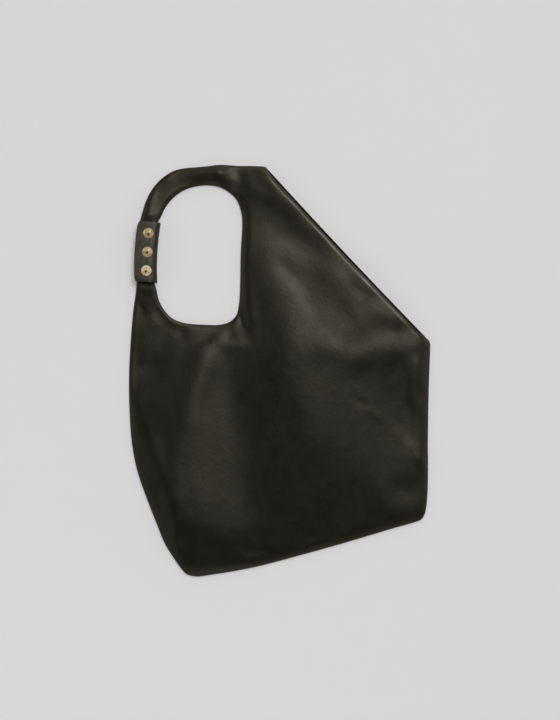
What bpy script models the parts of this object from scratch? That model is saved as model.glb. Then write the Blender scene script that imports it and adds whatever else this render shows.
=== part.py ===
"""Leather tote bag with one broad strap and a snapped cuff, lying flat on its back.

Metres, +Z up. +Y runs up the bag to its shoulder, +X to the side that the slanted mouth faces,
and the origin is under the middle of the bag, on the surface that it lies on.
"""

import math

import bmesh
import bpy
import numpy as np
from mathutils import Vector, geometry

MM = 0.001

# Whole bag
BAG_WIDTH = 358.4 * MM
BAG_HEIGHT = 489.9 * MM
LEATHER = 1.4 * MM
FIT_GAP = 0.3 * MM
CUT_OVERRUN = 1.0 * MM

# Turned seams and the fullness of the front
SEAM_WIDTH = 1.5 * MM
SEAM_ROLL_EASE = 1.0 * MM
SEAM_ROLL_REACH = 5.0 * MM
BELLY_RISE = 14.0 * MM
BELLY_REACH = 45.0 * MM
EDGE_NEARNESS_POWER = 3

# Mouth
LIP_SETBACK = 3.2 * MM
LIP_SETBACK_REACH = 16.0 * MM
MOUTH_SAG = 1.1 * MM
LIP_DROOP_SHARE = 0.4
LIP_DROOP_REACH = 22.0 * MM
FACING_WIDTH = 22.0 * MM
FACING_LEATHER = 1.0 * MM
FACING_END_INSET = 14.0 * MM
FACING_EDGE_INSET = 0.6 * MM

# Strap and hand hole
STRAP_WIDTH = 24.4 * MM
SHOULDER_BAND = 24.5 * MM
EDGE_TO_HOLE = 32.5 * MM
HOLE_WIDTH = 102.1 * MM
HOLE_HEIGHT = 165.9 * MM
STRAP_END_GAP = 0.6 * MM
CORE_SIDE_ROOM = 12.4 * MM
CORE_THICKNESS = 1.6 * MM
CORE_EASE = 0.8 * MM

# Cuff
CUFF_LENGTH = 71.0 * MM
CUFF_EASE = 2.1 * MM
CUFF_LEATHER = 1.2 * MM
CUFF_TILT = math.radians(3.3)
CUFF_BEND_INSIDE = 1.4 * MM
FOLD_BEND_INSIDE = 3.4 * MM
FLAP_OVERHANG = 0.95 * MM
FLAP_DROOP = 2.0 * MM
FOLD_START_ANGLE = 75
UNDER_LEAF_END_ROOM = 4.0 * MM
STRAP_STRAIGHT_PAST_CUFF = 1.5 * MM
LIFT_REACH = 30.0 * MM
SQUEEZE_REACH = 12.0 * MM

# Press studs
SNAP_COUNT = 3
SNAP_END_MARGIN = 13.3 * MM
SNAP_OFFSET = 1.4 * MM
SNAP_GAP = 0.2 * MM
CAP_RADIUS = 6.25 * MM
CAP_RIM = 0.6 * MM
CAP_RISE = 1.6 * MM
SHANK_RADIUS = 1.3 * MM
SHANK_FLARE = 0.6 * MM
FLARE_THICKNESS = 0.35 * MM
SOCKET_RADIUS = 5.2 * MM
SOCKET_BEVEL = 0.3 * MM
SOCKET_PLATE = 0.4 * MM
BALL_RADIUS = 2.0 * MM
BALL_HEIGHT = 1.2 * MM
BALL_CLEARANCE = 0.9 * MM
BALL_SHOULDER_SHARES = (0.33, 0.5, 0.75)
NECK_INSET = 0.3 * MM
SPRING_WIRE_RADIUS = 0.3 * MM
SPRING_SPLIT = math.radians(40)
STUD_FLANGE_RADIUS = 5.0 * MM
STUD_FLANGE = 0.5 * MM
STUD_FLANGE_BEVEL = 0.15 * MM
POST_RADIUS = 1.0 * MM
POST_FLANGE_RADIUS = 4.5 * MM
POST_FLANGE = 0.5 * MM
POST_HEAD_FLARE = 0.5 * MM
POST_HEAD = 0.3 * MM

# Fineness of the meshes
MERGE_REACH = 0.001 * MM
RING_CLEAR_SHARE = 0.95
LATTICE_CLEAR_SHARE = 0.33
ROLL_RING_SHARE = 0.7
STRAP_RING_SHARE = 0.46
EDGE_STEP = 11.0 * MM
GRID_STEP = 18.0 * MM
FACING_STEP = 11.0 * MM
CORE_STEP = 7.0 * MM
BEND_STEPS = 5
DOME_STEPS = 5
TURNED_SIDES = 24
SPRING_STEPS = 18
SPRING_SIDES = 6
SHARP_ANGLE = math.radians(35)

# Places that follow from the sizes
LEFT = -BAG_WIDTH / 2
BOTTOM = -BAG_HEIGHT / 2
TOP = BAG_HEIGHT / 2
CUFF_WIDTH = STRAP_WIDTH + CUFF_EASE
CUFF_CENTRE_SHARE = 0.459
CUFF_RISE_SHARE = 0.0194
HOLE_X = LEFT + EDGE_TO_HOLE + HOLE_WIDTH / 2
HOLE_Y = TOP - SHOULDER_BAND - HOLE_HEIGHT / 2
CUFF_X = LEFT + EDGE_TO_HOLE - STRAP_WIDTH * CUFF_CENTRE_SHARE
CUFF_Y = HOLE_Y + HOLE_HEIGHT * CUFF_RISE_SHARE

# Room for the strap between the bends of the cuff, whose inside corners cut into it
BEND_INTRUSION = CUFF_BEND_INSIDE - math.sqrt(
    CUFF_BEND_INSIDE**2 - (CUFF_BEND_INSIDE - FIT_GAP) ** 2
)
STRAP_SIDE_ROOM = CUFF_LEATHER + BEND_INTRUSION + FIT_GAP
STRAP_OUTER_IN_CUFF = -CUFF_WIDTH / 2 + FLAP_OVERHANG + STRAP_SIDE_ROOM
STRAP_INNER_IN_CUFF = CUFF_WIDTH / 2 - STRAP_SIDE_ROOM

# Heights in the cuff, from the surface up
LIFT = CUFF_LEATHER + FIT_GAP
STRAP_FULLNESS_IN_CUFF = CORE_THICKNESS + CORE_EASE
STRAP_TOP_Z = LIFT + 2 * LEATHER + FIT_GAP + STRAP_FULLNESS_IN_CUFF
POST_BASE_Z = STRAP_TOP_Z + SNAP_GAP
UNDER_LEAF_Z = POST_BASE_Z + POST_FLANGE + SNAP_GAP
STUD_Z = UNDER_LEAF_Z + CUFF_LEATHER + SNAP_GAP
STUD_FLANGE_TOP_Z = STUD_Z + STUD_FLANGE
BALL_TOP_Z = STUD_FLANGE_TOP_Z + BALL_HEIGHT
POST_HEAD_Z = BALL_TOP_Z + SNAP_GAP
FLARE_Z = POST_HEAD_Z + POST_HEAD + FIT_GAP
CAVITY_ROOF_Z = FLARE_Z + FLARE_THICKNESS + SNAP_GAP
SOCKET_Z = STUD_FLANGE_TOP_Z + SNAP_GAP
SOCKET_TOP_Z = CAVITY_ROOF_Z + SOCKET_PLATE
FLAP_Z = SOCKET_TOP_Z + SNAP_GAP
FLAP_TOP_Z = FLAP_Z + CUFF_LEATHER
CAP_Z = FLAP_TOP_Z + SNAP_GAP

# The fold line of the flap runs beside the caps, on the flap's upper face
FOLD_ACROSS = CUFF_WIDTH / 2 - CUFF_LEATHER - FOLD_BEND_INSIDE
CAVITY_RADIUS = BALL_RADIUS + BALL_CLEARANCE

# Hand hole, in half widths and half heights from its centre, from above the cuff clockwise
# to below it, and the strap's width beside the points that it shares with the strap
HOLE_SHARES = (
    (-0.902, 0.534), (-0.786, 0.684), (-0.601, 0.824), (-0.345, 0.933), (-0.065, 0.986),
    (0.214, 1.0), (0.459, 0.976), (0.660, 0.914), (0.860, 0.799), (0.972, 0.627),
    (1.0, 0.491), (0.963, -0.004), (0.949, -0.463), (0.925, -0.693), (0.865, -0.858),
    (0.716, -0.953), (0.494, -0.996), (0.121, -0.997), (-0.345, -0.973), (-0.625, -0.908),
    (-0.823, -0.783), (-0.946, -0.636), (-1.0, -0.485),
)
STRAP_END_SHARES = (0.07, 0.22, 0.5, 0.78, 0.93)
UPPER_STRAP_WIDTH_SHARES = (0.94, 1.015, 1.08, 1.07, 0.94, 0.946)
LOWER_STRAP_WIDTH_SHARES = (1.31, 1.03)

# Left side, in bag widths from the left and in the height below the hand hole from the bottom
LEFT_SIDE_SHARES = (
    (0.006, 0.945), (0.0, 0.80), (0.0017, 0.654), (0.0096, 0.529), (0.0279, 0.418),
    (0.0601, 0.306), (0.0913, 0.211), (0.1185, 0.1315), (0.1514, 0.068), (0.1756, 0.0278),
    (0.192, 0.0091), (0.2238, 0.0),
)
# Bottom and right side, in bag widths from the left and bag heights from the bottom
BOTTOM_SHARES = (
    (0.2636, 0.0034), (0.4117, 0.0221), (0.5657, 0.0513), (0.7082, 0.0804), (0.8865, 0.1193),
    (0.9475, 0.1319), (0.9705, 0.1390), (0.9817, 0.1516),
)
RIGHT_SIDE_SHARES = (
    (0.990, 0.191), (0.9924, 0.2347), (0.9924, 0.3428), (0.9957, 0.4703), (0.9997, 0.5505),
    (1.0, 0.5651),
)
MOUTH_LOW_SHARES = (0.9917, 0.5760)
# Shoulder, in bag widths from the left and in shoulder bands below the top
MOUTH_HIGH_SHARES = (0.4529, 0.097)
SHOULDER_SHARES = ((0.441, 0.073), (0.401, 0.053), (0.361, 0.049), (0.328, 0.015), (0.295, 0.0))


# Outlines

def cuff_point(across, along):
    """Point of the bag at a place in the cuff's own frame."""
    return np.array((
        CUFF_X + across * math.cos(CUFF_TILT) + along * math.sin(CUFF_TILT),
        CUFF_Y - across * math.sin(CUFF_TILT) + along * math.cos(CUFF_TILT),
    ))


def cuff_coordinates(points):
    """Places across and along the cuff of points of the bag."""
    x = points[:, 0] - CUFF_X
    y = points[:, 1] - CUFF_Y
    across = x * math.cos(CUFF_TILT) - y * math.sin(CUFF_TILT)
    along = x * math.sin(CUFF_TILT) + y * math.cos(CUFF_TILT)
    return across, along


def curve_through(points, step):
    """Smooth curve through all points, with the index of each point in its samples."""
    ring = np.array([2 * points[0] - points[1], *points, 2 * points[-1] - points[-2]])
    samples = []
    marks = []
    for before, start, end, after in zip(ring, ring[1:], ring[2:], ring[3:]):
        knot_in, knot, knot_out = (
            math.sqrt(np.linalg.norm(b - a))
            for a, b in ((before, start), (start, end), (end, after))
        )
        chord = end - start
        leave = chord + knot * ((start - before) / knot_in - (end - before) / (knot_in + knot))
        arrive = chord + knot * ((after - end) / knot_out - (after - start) / (knot + knot_out))
        marks.append(len(samples))
        count = max(1, round(np.linalg.norm(chord) / step))
        for t in np.arange(count) / count:
            cubic = (leave + arrive - 2 * chord) * t**3
            square = (3 * chord - 2 * leave - arrive) * t**2
            samples.append(start + leave * t + square + cubic)
    marks.append(len(samples))
    samples.append(np.array(points[-1]))
    return np.array(samples), marks


def left_normals(points):
    """Unit normals on the left of a run of points."""
    along = np.gradient(np.asarray(points), axis=0)
    along /= np.linalg.norm(along, axis=1)[:, None]
    return np.column_stack((-along[:, 1], along[:, 0]))


def hole_points():
    """Points of the hand hole that its shares give."""
    shares = np.array(HOLE_SHARES)
    return np.column_stack((
        HOLE_X + shares[:, 0] * HOLE_WIDTH / 2,
        HOLE_Y + shares[:, 1] * HOLE_HEIGHT / 2,
    ))


def strap_points(width_shares, stations):
    """Points of the strap's outer edge beside the given points of the hand hole."""
    hole = hole_points()
    normals = left_normals(hole)
    return [
        hole[k] + normals[k] * STRAP_WIDTH * share for k, share in zip(stations, width_shares)
    ]


def in_cuff(across, side):
    """Straight run of one strap edge inside the cuff, from the joint out; side is +1 or -1."""
    end = CUFF_LENGTH / 2
    along = (STRAP_END_GAP / 2, end / 2, end, end + STRAP_STRAIGHT_PAST_CUFF)
    return [cuff_point(across, side * a) for a in along]


def from_corner(shares, x_unit, y_unit, y_start):
    """Points from shares of two sizes, counted from the bag's left edge and a given height."""
    return [np.array((LEFT + u * x_unit, y_start + v * y_unit)) for u, v in shares]


def bag_edges():
    """Edges of the bag in order round it, each a run of points, interior on the left."""
    hole = [
        *in_cuff(STRAP_INNER_IN_CUFF, 1),
        *hole_points(),
        *reversed(in_cuff(STRAP_INNER_IN_CUFF, -1)),
    ]
    hole_bottom = HOLE_Y - HOLE_HEIGHT / 2
    last = len(HOLE_SHARES) - 1
    left = [
        *in_cuff(STRAP_OUTER_IN_CUFF, -1),
        *reversed(strap_points(LOWER_STRAP_WIDTH_SHARES, (last - 1, last))),
        *from_corner(LEFT_SIDE_SHARES, BAG_WIDTH, hole_bottom - BOTTOM, BOTTOM),
    ]
    bottom = from_corner(BOTTOM_SHARES, BAG_WIDTH, BAG_HEIGHT, BOTTOM)
    right = from_corner((*RIGHT_SIDE_SHARES, MOUTH_LOW_SHARES), BAG_WIDTH, BAG_HEIGHT, BOTTOM)
    top = [
        *from_corner((MOUTH_HIGH_SHARES, *SHOULDER_SHARES), BAG_WIDTH, -SHOULDER_BAND, TOP),
        *reversed(strap_points(UPPER_STRAP_WIDTH_SHARES, range(len(UPPER_STRAP_WIDTH_SHARES)))),
        *reversed(in_cuff(STRAP_OUTER_IN_CUFF, 1)),
    ]
    outer, marks = curve_through(np.array(left + bottom + right), EDGE_STEP)
    to_bottom = marks[len(left) - 1]
    to_right = marks[len(left) + len(bottom) - 1]
    top_run, _ = curve_through(np.array(top), EDGE_STEP)
    return {
        "hole": curve_through(np.array(hole), EDGE_STEP)[0],
        "left": outer[: to_bottom + 1],
        "bottom": outer[to_bottom : to_right + 1],
        "right": outer[to_right:],
        "top": top_run,
    }


EDGES = bag_edges()
MOUTH_LOW = EDGES["right"][-1]
MOUTH_HIGH = EDGES["top"][0]
MOUTH_LENGTH = np.linalg.norm(MOUTH_HIGH - MOUTH_LOW)
MOUTH_ALONG = (MOUTH_HIGH - MOUTH_LOW) / MOUTH_LENGTH
MOUTH_INWARD = np.array((-MOUTH_ALONG[1], MOUTH_ALONG[0]))


def mouth_edge(setback):
    """Points of a lip's edge between the mouth's corners, set back in the middle."""
    count = round(MOUTH_LENGTH / EDGE_STEP)
    along = np.arange(1, count) * MOUTH_LENGTH / count
    depth = lip_depth(along, setback)
    return MOUTH_LOW + np.outer(along, MOUTH_ALONG) + np.outer(depth, MOUTH_INWARD)


def lip_depth(along, setback):
    """Depth of a lip's edge behind the straight line between the mouth's corners."""
    ramp = smooth_step(along / LIP_SETBACK_REACH)
    ramp = ramp * smooth_step((MOUTH_LENGTH - along) / LIP_SETBACK_REACH)
    sag = MOUTH_SAG * np.sin(math.pi * along / MOUTH_LENGTH)
    return setback * ramp + sag


def strap_end(start, end):
    """Points across an open end of the strap."""
    return np.array([start + (end - start) * share for share in STRAP_END_SHARES])


def outline(setback):
    """Closed outline of a panel, anticlockwise, as one run of points."""
    hole, left, top = EDGES["hole"], EDGES["left"], EDGES["top"]
    return np.concatenate([
        hole, strap_end(hole[-1], left[0]), left, EDGES["bottom"][1:], EDGES["right"][1:],
        mouth_edge(setback), top, strap_end(top[-1], hole[0]),
    ])


# Heights

def smooth_step(t):
    """Ease from 0 to 1."""
    t = np.clip(t, 0.0, 1.0)
    return t * t * (3 - 2 * t)


def distances(points, run):
    """Distance of each point to a run of points."""
    start = run[:-1]
    span = run[1:] - start
    reach = points[:, None] - start
    t = np.clip((reach * span).sum(axis=2) / (span * span).sum(axis=1), 0.0, 1.0)
    return np.linalg.norm(reach - t[:, :, None] * span, axis=2).min(axis=1)


def past_cuff(points, reach):
    """1 inside the cuff, easing to 0 over a reach beyond its ends, and 0 off the strap."""
    across, along = cuff_coordinates(points)
    weight = 1 - smooth_step((np.abs(along) - CUFF_LENGTH / 2) / reach)
    return np.where(np.abs(across) < CUFF_WIDTH, weight, 0.0)


def lift(points):
    """Height of the bag's underside, which the cuff's back leaf holds up."""
    return LIFT * past_cuff(points, LIFT_REACH)


def fullness(points):
    """Height of the front over its sewn edges."""
    power = EDGE_NEARNESS_POWER
    reach = sum(
        np.maximum(distances(points, run), FIT_GAP) ** -power for run in EDGES.values()
    ) ** (-1 / power)
    inside = np.maximum(reach - SEAM_WIDTH, 0.0)
    seam_roll = CORE_THICKNESS + SEAM_ROLL_EASE
    rise = seam_roll * (1 - np.exp(-inside / SEAM_ROLL_REACH))
    rise += BELLY_RISE * (1 - np.exp(-inside / BELLY_REACH))
    squeeze = past_cuff(points, SQUEEZE_REACH)
    flattened = np.minimum(rise, STRAP_FULLNESS_IN_CUFF)
    rise = rise + (flattened - rise) * squeeze
    mouth = distances(points, np.array((MOUTH_LOW, MOUTH_HIGH)))
    return rise * (1 - LIP_DROOP_SHARE * np.exp(-mouth / LIP_DROOP_REACH))


def front_underside(points):
    """Height of the front panel's inner face."""
    return lift(points) + LEATHER + FIT_GAP + fullness(points)


# Meshes

def finish(name, mesh_maker, material, parent=None, location=(0, 0, 0)):
    """Object from a bmesh, with its material and parent."""
    mesh = bpy.data.meshes.new(name)
    mesh_maker.to_mesh(mesh)
    mesh_maker.free()
    mesh.shade_smooth()
    mesh.set_sharp_from_angle(angle=SHARP_ANGLE)
    return place(name, mesh, material, parent, location)


def place(name, mesh, material, parent, location):
    """Object that shows a mesh."""
    thing = bpy.data.objects.new(name, mesh)
    bpy.context.scene.collection.objects.link(thing)
    if material and not mesh.materials:
        mesh.materials.append(material)
    thing.parent = parent
    thing.location = location
    return thing


def empty(name, parent, location, turn=0.0):
    """Empty that carries other objects."""
    thing = bpy.data.objects.new(name, None)
    bpy.context.scene.collection.objects.link(thing)
    thing.parent = parent
    thing.location = location
    thing.rotation_euler = (0, 0, turn)
    return thing


def inner_points(edge, rings, fixed=()):
    """Points inside an outline: rings along its edge, fixed places and a lattice between."""
    closed = np.vstack((edge, edge[:1]))
    around = np.vstack((edge[-1:], edge, edge[:1]))
    normals = left_normals(around)[1:-1]
    found = list(fixed)
    for ring in rings:
        ring_points = edge + normals * ring
        clear = distances(ring_points, closed) > ring * RING_CLEAR_SHARE
        found.append(ring_points[clear & far_from(ring_points, fixed, rings[0])])
    rows = math.ceil(BAG_HEIGHT / GRID_STEP)
    columns = math.ceil(BAG_WIDTH / GRID_STEP)
    lattice = np.array([
        ((column + row % 2 / 2) * GRID_STEP, row * GRID_STEP * math.sqrt(3) / 2)
        for row in range(-rows, rows + 1)
        for column in range(-columns, columns + 1)
    ])
    lattice = lattice[inside(lattice, edge)]
    clearance = GRID_STEP * LATTICE_CLEAR_SHARE
    lattice = lattice[distances(lattice, closed) > rings[-1] + clearance]
    lattice = lattice[far_from(lattice, fixed, clearance)]
    return np.vstack((*found, lattice))


def far_from(points, fixed, reach):
    """Which points keep a distance from all fixed places."""
    if not len(fixed):
        return np.full(len(points), True)
    gaps = np.linalg.norm(points[:, None] - np.vstack(fixed), axis=2)
    return gaps.min(axis=1) > reach


def inside(points, edge):
    """Which points lie inside a closed outline."""
    start = edge
    end = np.roll(edge, -1, axis=0)
    above = (start[:, 1] > points[:, None, 1]) != (end[:, 1] > points[:, None, 1])
    rise = np.where(end[:, 1] == start[:, 1], 1.0, end[:, 1] - start[:, 1])
    crossing = start[:, 0] + (points[:, None, 1] - start[:, 1]) * (end[:, 0] - start[:, 0]) / rise
    return (above & (points[:, None, 0] < crossing)).sum(axis=1) % 2 == 1


def sheet(edge, interior, underside, thickness):
    """Closed sheet over an outline, its underside at a height that a function gives."""
    points = np.vstack((edge, interior)) if len(interior) else edge
    loop = list(range(len(edge)))
    flat = geometry.delaunay_2d_cdt([Vector(p) for p in points], [], [loop], 1, MERGE_REACH)
    places = np.array([tuple(v) for v in flat[0]])
    low = underside(places)
    maker = bmesh.new()
    bottom = [maker.verts.new((x, y, z)) for (x, y), z in zip(places, low)]
    top = [maker.verts.new((x, y, z + thickness)) for (x, y), z in zip(places, low)]
    sides = set()
    for face in flat[2]:
        maker.faces.new([top[k] for k in face])
        maker.faces.new([bottom[k] for k in reversed(face)])
        sides ^= {(a, b) for a, b in zip(face, (*face[1:], face[0])) if (b, a) not in sides}
        sides -= {(b, a) for a, b in zip(face, (*face[1:], face[0]))}
    for a, b in sides:
        maker.faces.new((bottom[a], bottom[b], top[b], top[a]))
    return maker


def ribbon(sections):
    """Closed solid through a row of sections, each with the same number of corners."""
    maker = bmesh.new()
    rings = [[maker.verts.new(corner) for corner in section] for section in sections]
    for one, two in zip(rings, rings[1:]):
        for k in range(len(one)):
            after = (k + 1) % len(one)
            maker.faces.new((one[k], one[after], two[after], two[k]))
    maker.faces.new(list(reversed(rings[0])))
    maker.faces.new(rings[-1])
    bmesh.ops.recalc_face_normals(maker, faces=maker.faces)
    return maker


def band(path, thickness, length):
    """Leather band whose section follows a path across, drawn out along the strap."""
    path = np.array(path)
    normals = left_normals(path)
    one_side = path + normals * thickness / 2
    other_side = path - normals * thickness / 2
    sections = []
    for (ax, az), (bx, bz) in zip(one_side, other_side):
        sections.append((
            (ax, -length / 2, az), (ax, length / 2, az), (bx, length / 2, bz), (bx, -length / 2, bz),
        ))
    return ribbon(sections)


def turned(profile):
    """Solid of revolution about Z from a closed profile of radius and height."""
    maker = bmesh.new()
    rings = []
    for radius, height in profile:
        if radius == 0:
            rings.append([maker.verts.new((0, 0, height))] * TURNED_SIDES)
            continue
        rings.append([
            maker.verts.new((radius * math.cos(turn), radius * math.sin(turn), height))
            for turn in np.arange(TURNED_SIDES) * math.tau / TURNED_SIDES
        ])
    for one, two in zip(rings, rings[1:] + rings[:1]):
        for k in range(TURNED_SIDES):
            after = (k + 1) % TURNED_SIDES
            corners = list(dict.fromkeys((one[k], one[after], two[after], two[k])))
            if len(corners) > 2:
                maker.faces.new(corners)
    bmesh.ops.recalc_face_normals(maker, faces=maker.faces)
    return maker


def drill(thing, name, radius, low, high, parent, location):
    """Round hole through a piece."""
    maker = turned([(0, low), (radius, low), (radius, high), (0, high)])
    cutter = finish(name, maker, None, parent, location)
    cutter.hide_render = True
    cutter.display_type = "WIRE"
    cut = thing.modifiers.new(name, "BOOLEAN")
    cut.operation = "DIFFERENCE"
    cut.solver = "EXACT"
    cut.object = cutter


# Materials

def plain_finish(name, colour, roughness, metallic):
    """Plain finish."""
    finish_of = bpy.data.materials.new(name)
    finish_of.use_nodes = True
    shader = finish_of.node_tree.nodes["Principled BSDF"]
    shader.inputs["Base Color"].default_value = (*colour, 1.0)
    shader.inputs["Roughness"].default_value = roughness
    shader.inputs["Metallic"].default_value = metallic
    return finish_of


# Pieces

def back_panel(leather):
    """Back of the body and strap, flat on the surface."""
    edge = outline(0.0)
    maker = sheet(edge, inner_points(edge, (GRID_STEP / 2,)), lift, LEATHER)
    finish("back_panel", maker, leather)


def front_panel(leather):
    """Front of the body and strap, domed between its seams."""
    edge = outline(LIP_SETBACK)
    roll_ring = SEAM_WIDTH + SEAM_ROLL_REACH * ROLL_RING_SHARE
    rings = (SEAM_WIDTH, roll_ring, STRAP_WIDTH * STRAP_RING_SHARE)
    interior = inner_points(edge, rings, facing_places(LIP_SETBACK))
    maker = sheet(edge, interior, front_underside, LEATHER)
    finish("front_panel", maker, leather)


def facing_places(setback):
    """Places of a facing's corners, row by row along its lip of the mouth."""
    run = MOUTH_LENGTH - 2 * FACING_END_INSET
    count = round(run / FACING_STEP)
    rows = round(FACING_WIDTH / FACING_STEP)
    depths = FACING_EDGE_INSET + FACING_WIDTH * np.arange(rows + 1) / rows
    found = []
    for station in range(count + 1):
        along = FACING_END_INSET + run * station / count
        edge = MOUTH_LOW + along * MOUTH_ALONG + lip_depth(along, setback) * MOUTH_INWARD
        found.append(edge + np.outer(depths, MOUTH_INWARD))
    return found


def mouth_facing(name, leather, setback, underside):
    """Strip of leather inside one lip of the mouth."""
    sections = []
    for places in facing_places(setback):
        low = underside(places)
        bottom = [(*p, z) for p, z in zip(places, low)]
        top = [(*p, z + FACING_LEATHER) for p, z in zip(places, low)]
        sections.append(bottom + top[::-1])
    finish(name, strip_solid(sections), leather)


def strip_solid(sections):
    """Closed strip whose sections run across its underside and back along its top."""
    maker = bmesh.new()
    rings = [[maker.verts.new(corner) for corner in section] for section in sections]
    for one, two in zip(rings, rings[1:]):
        for k in range(len(one)):
            after = (k + 1) % len(one)
            maker.faces.new((one[k], one[after], two[after], two[k]))
    for ring in (rings[0], rings[-1]):
        half = len(ring) // 2
        for k in range(half - 1):
            maker.faces.new((ring[k], ring[k + 1], ring[-2 - k], ring[-1 - k]))
    bmesh.ops.recalc_face_normals(maker, faces=maker.faces)
    return maker


def strap_core(webbing):
    """Reinforcing strip inside the strap, running on through the joint under the cuff."""
    hole = hole_points()
    stations = len(UPPER_STRAP_WIDTH_SHARES)
    last = len(HOLE_SHARES) - 1
    upper = zip(hole[:stations], strap_points(UPPER_STRAP_WIDTH_SHARES, range(stations)))
    lower = zip(
        hole[last - 1 : last + 1], strap_points(LOWER_STRAP_WIDTH_SHARES, (last - 1, last))
    )
    middle_in_cuff = (STRAP_INNER_IN_CUFF + STRAP_OUTER_IN_CUFF) / 2
    middle = [
        *reversed([(inner + outer) / 2 for inner, outer in upper]),
        *reversed(in_cuff(middle_in_cuff, 1)),
        *in_cuff(middle_in_cuff, -1),
        *reversed([(inner + outer) / 2 for inner, outer in lower]),
    ]
    run, _ = curve_through(np.array(middle), CORE_STEP)
    side = left_normals(run) * (STRAP_WIDTH - CORE_SIDE_ROOM) / 2
    low = lift(run) + LEATHER + FIT_GAP
    sections = []
    for a, b, z in zip(run - side, run + side, low):
        high = z + CORE_THICKNESS
        sections.append(((*a, z), (*b, z), (*b, high), (*a, high)))
    finish("strap_core", ribbon(sections), webbing)


def bend(centre, radius, start, end):
    """Points of a quarter bend in the cuff's section, from one angle to another."""
    turns = np.radians(np.linspace(start, end, BEND_STEPS + 1))
    return [(centre[0] + radius * math.cos(t), centre[1] + radius * math.sin(t)) for t in turns]


def cuff_wrap(leather, cuff):
    """Cuff from its fold, round the back of the strap and up over the strap's front."""
    half = CUFF_LEATHER / 2
    bend_middle = CUFF_BEND_INSIDE + half
    fold_middle = FOLD_BEND_INSIDE + half
    right = CUFF_WIDTH / 2 - half
    left = -CUFF_WIDTH / 2 + FLAP_OVERHANG + half
    fold_z = FLAP_Z + half
    under_z = UNDER_LEAF_Z + half
    end = right - UNDER_LEAF_END_ROOM
    path = [
        (FOLD_ACROSS + FIT_GAP / 2, fold_z),
        *bend((right - fold_middle, fold_z - fold_middle), fold_middle, FOLD_START_ANGLE, 0),
        *bend((right - bend_middle, half + bend_middle), bend_middle, 0, -90),
        *bend((left + bend_middle, half + bend_middle), bend_middle, 270, 180),
        *bend((left + bend_middle, under_z - bend_middle), bend_middle, 180, 90),
        ((left + end) / 2, under_z),
        (end, under_z),
    ]
    wrap = finish("cuff_wrap", band(path, CUFF_LEATHER, CUFF_LENGTH), leather, cuff)
    for number, along in enumerate(snap_places(), 1):
        drill(
            wrap, f"post_hole_{number}", POST_RADIUS + SNAP_GAP, UNDER_LEAF_Z - CUT_OVERRUN,
            UNDER_LEAF_Z + CUFF_LEATHER + CUT_OVERRUN, cuff, (SNAP_OFFSET, along, 0),
        )


def cuff_flap(leather, fold):
    """Top leaf of the cuff, from its fold to its free edge, in the fold line's frame."""
    middle = -CUFF_LEATHER / 2 - FIT_GAP / 2
    free_edge = -CUFF_WIDTH / 2 - FOLD_ACROSS
    flat_end = SNAP_OFFSET - CAP_RADIUS - FOLD_ACROSS
    drooping = [
        (flat_end + (free_edge - flat_end) * t, middle - FLAP_DROOP * t**2)
        for t in np.arange(1, BEND_STEPS) / (BEND_STEPS - 1)
    ]
    path = [(-FIT_GAP / 2, middle), (flat_end, middle), *drooping]
    flap = finish("cuff_flap", band(path, CUFF_LEATHER, CUFF_LENGTH), leather, fold)
    for number, along in enumerate(snap_places(), 1):
        drill(
            flap, f"shank_hole_{number}", SHANK_RADIUS + SNAP_GAP,
            middle - CUFF_LEATHER / 2 - CUT_OVERRUN, middle + CUFF_LEATHER / 2 + CUT_OVERRUN,
            fold, (SNAP_OFFSET - FOLD_ACROSS, along, 0),
        )


def snap_places():
    """Places of the press studs along the cuff, the lowest first."""
    run = CUFF_LENGTH - 2 * SNAP_END_MARGIN
    return [-run / 2 + run * k / (SNAP_COUNT - 1) for k in range(SNAP_COUNT)]


def cap_profile():
    """Domed cap with its shank, which is flared under the socket's plate."""
    dome = [
        (CAP_RADIUS * math.cos(t), CAP_Z + CAP_RIM + CAP_RISE * math.sin(t))
        for t in np.linspace(0, math.pi / 2, DOME_STEPS, endpoint=False)
    ]
    flare = SHANK_RADIUS + SHANK_FLARE
    flare_top = FLARE_Z + FLARE_THICKNESS
    return [
        (0, FLARE_Z), (flare, FLARE_Z), (flare, flare_top), (SHANK_RADIUS, flare_top),
        (SHANK_RADIUS, CAP_Z), (CAP_RADIUS - CAP_RIM / 2, CAP_Z), *dome,
        (0, CAP_Z + CAP_RIM + CAP_RISE),
    ]


def socket_profile():
    """Socket with its plate under the flap, and the groove that holds the ring spring."""
    groove = CAVITY_RADIUS + SPRING_WIRE_RADIUS + SNAP_GAP
    groove_half = SPRING_WIRE_RADIUS + SNAP_GAP
    middle = spring_height()
    return [
        (CAVITY_RADIUS, SOCKET_Z), (SOCKET_RADIUS - SOCKET_BEVEL, SOCKET_Z),
        (SOCKET_RADIUS, SOCKET_Z + SOCKET_BEVEL), (SOCKET_RADIUS, SOCKET_TOP_Z - SOCKET_BEVEL),
        (SOCKET_RADIUS - SOCKET_BEVEL, SOCKET_TOP_Z), (SHANK_RADIUS + SNAP_GAP, SOCKET_TOP_Z),
        (SHANK_RADIUS + SNAP_GAP, CAVITY_ROOF_Z), (CAVITY_RADIUS, CAVITY_ROOF_Z),
        (CAVITY_RADIUS, middle + groove_half), (groove, middle + groove_half),
        (groove, middle - groove_half), (CAVITY_RADIUS, middle - groove_half),
    ]


def spring_height():
    """Height of the ring spring, half way up the socket's wall."""
    return (SOCKET_Z + CAVITY_ROOF_Z) / 2


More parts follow.
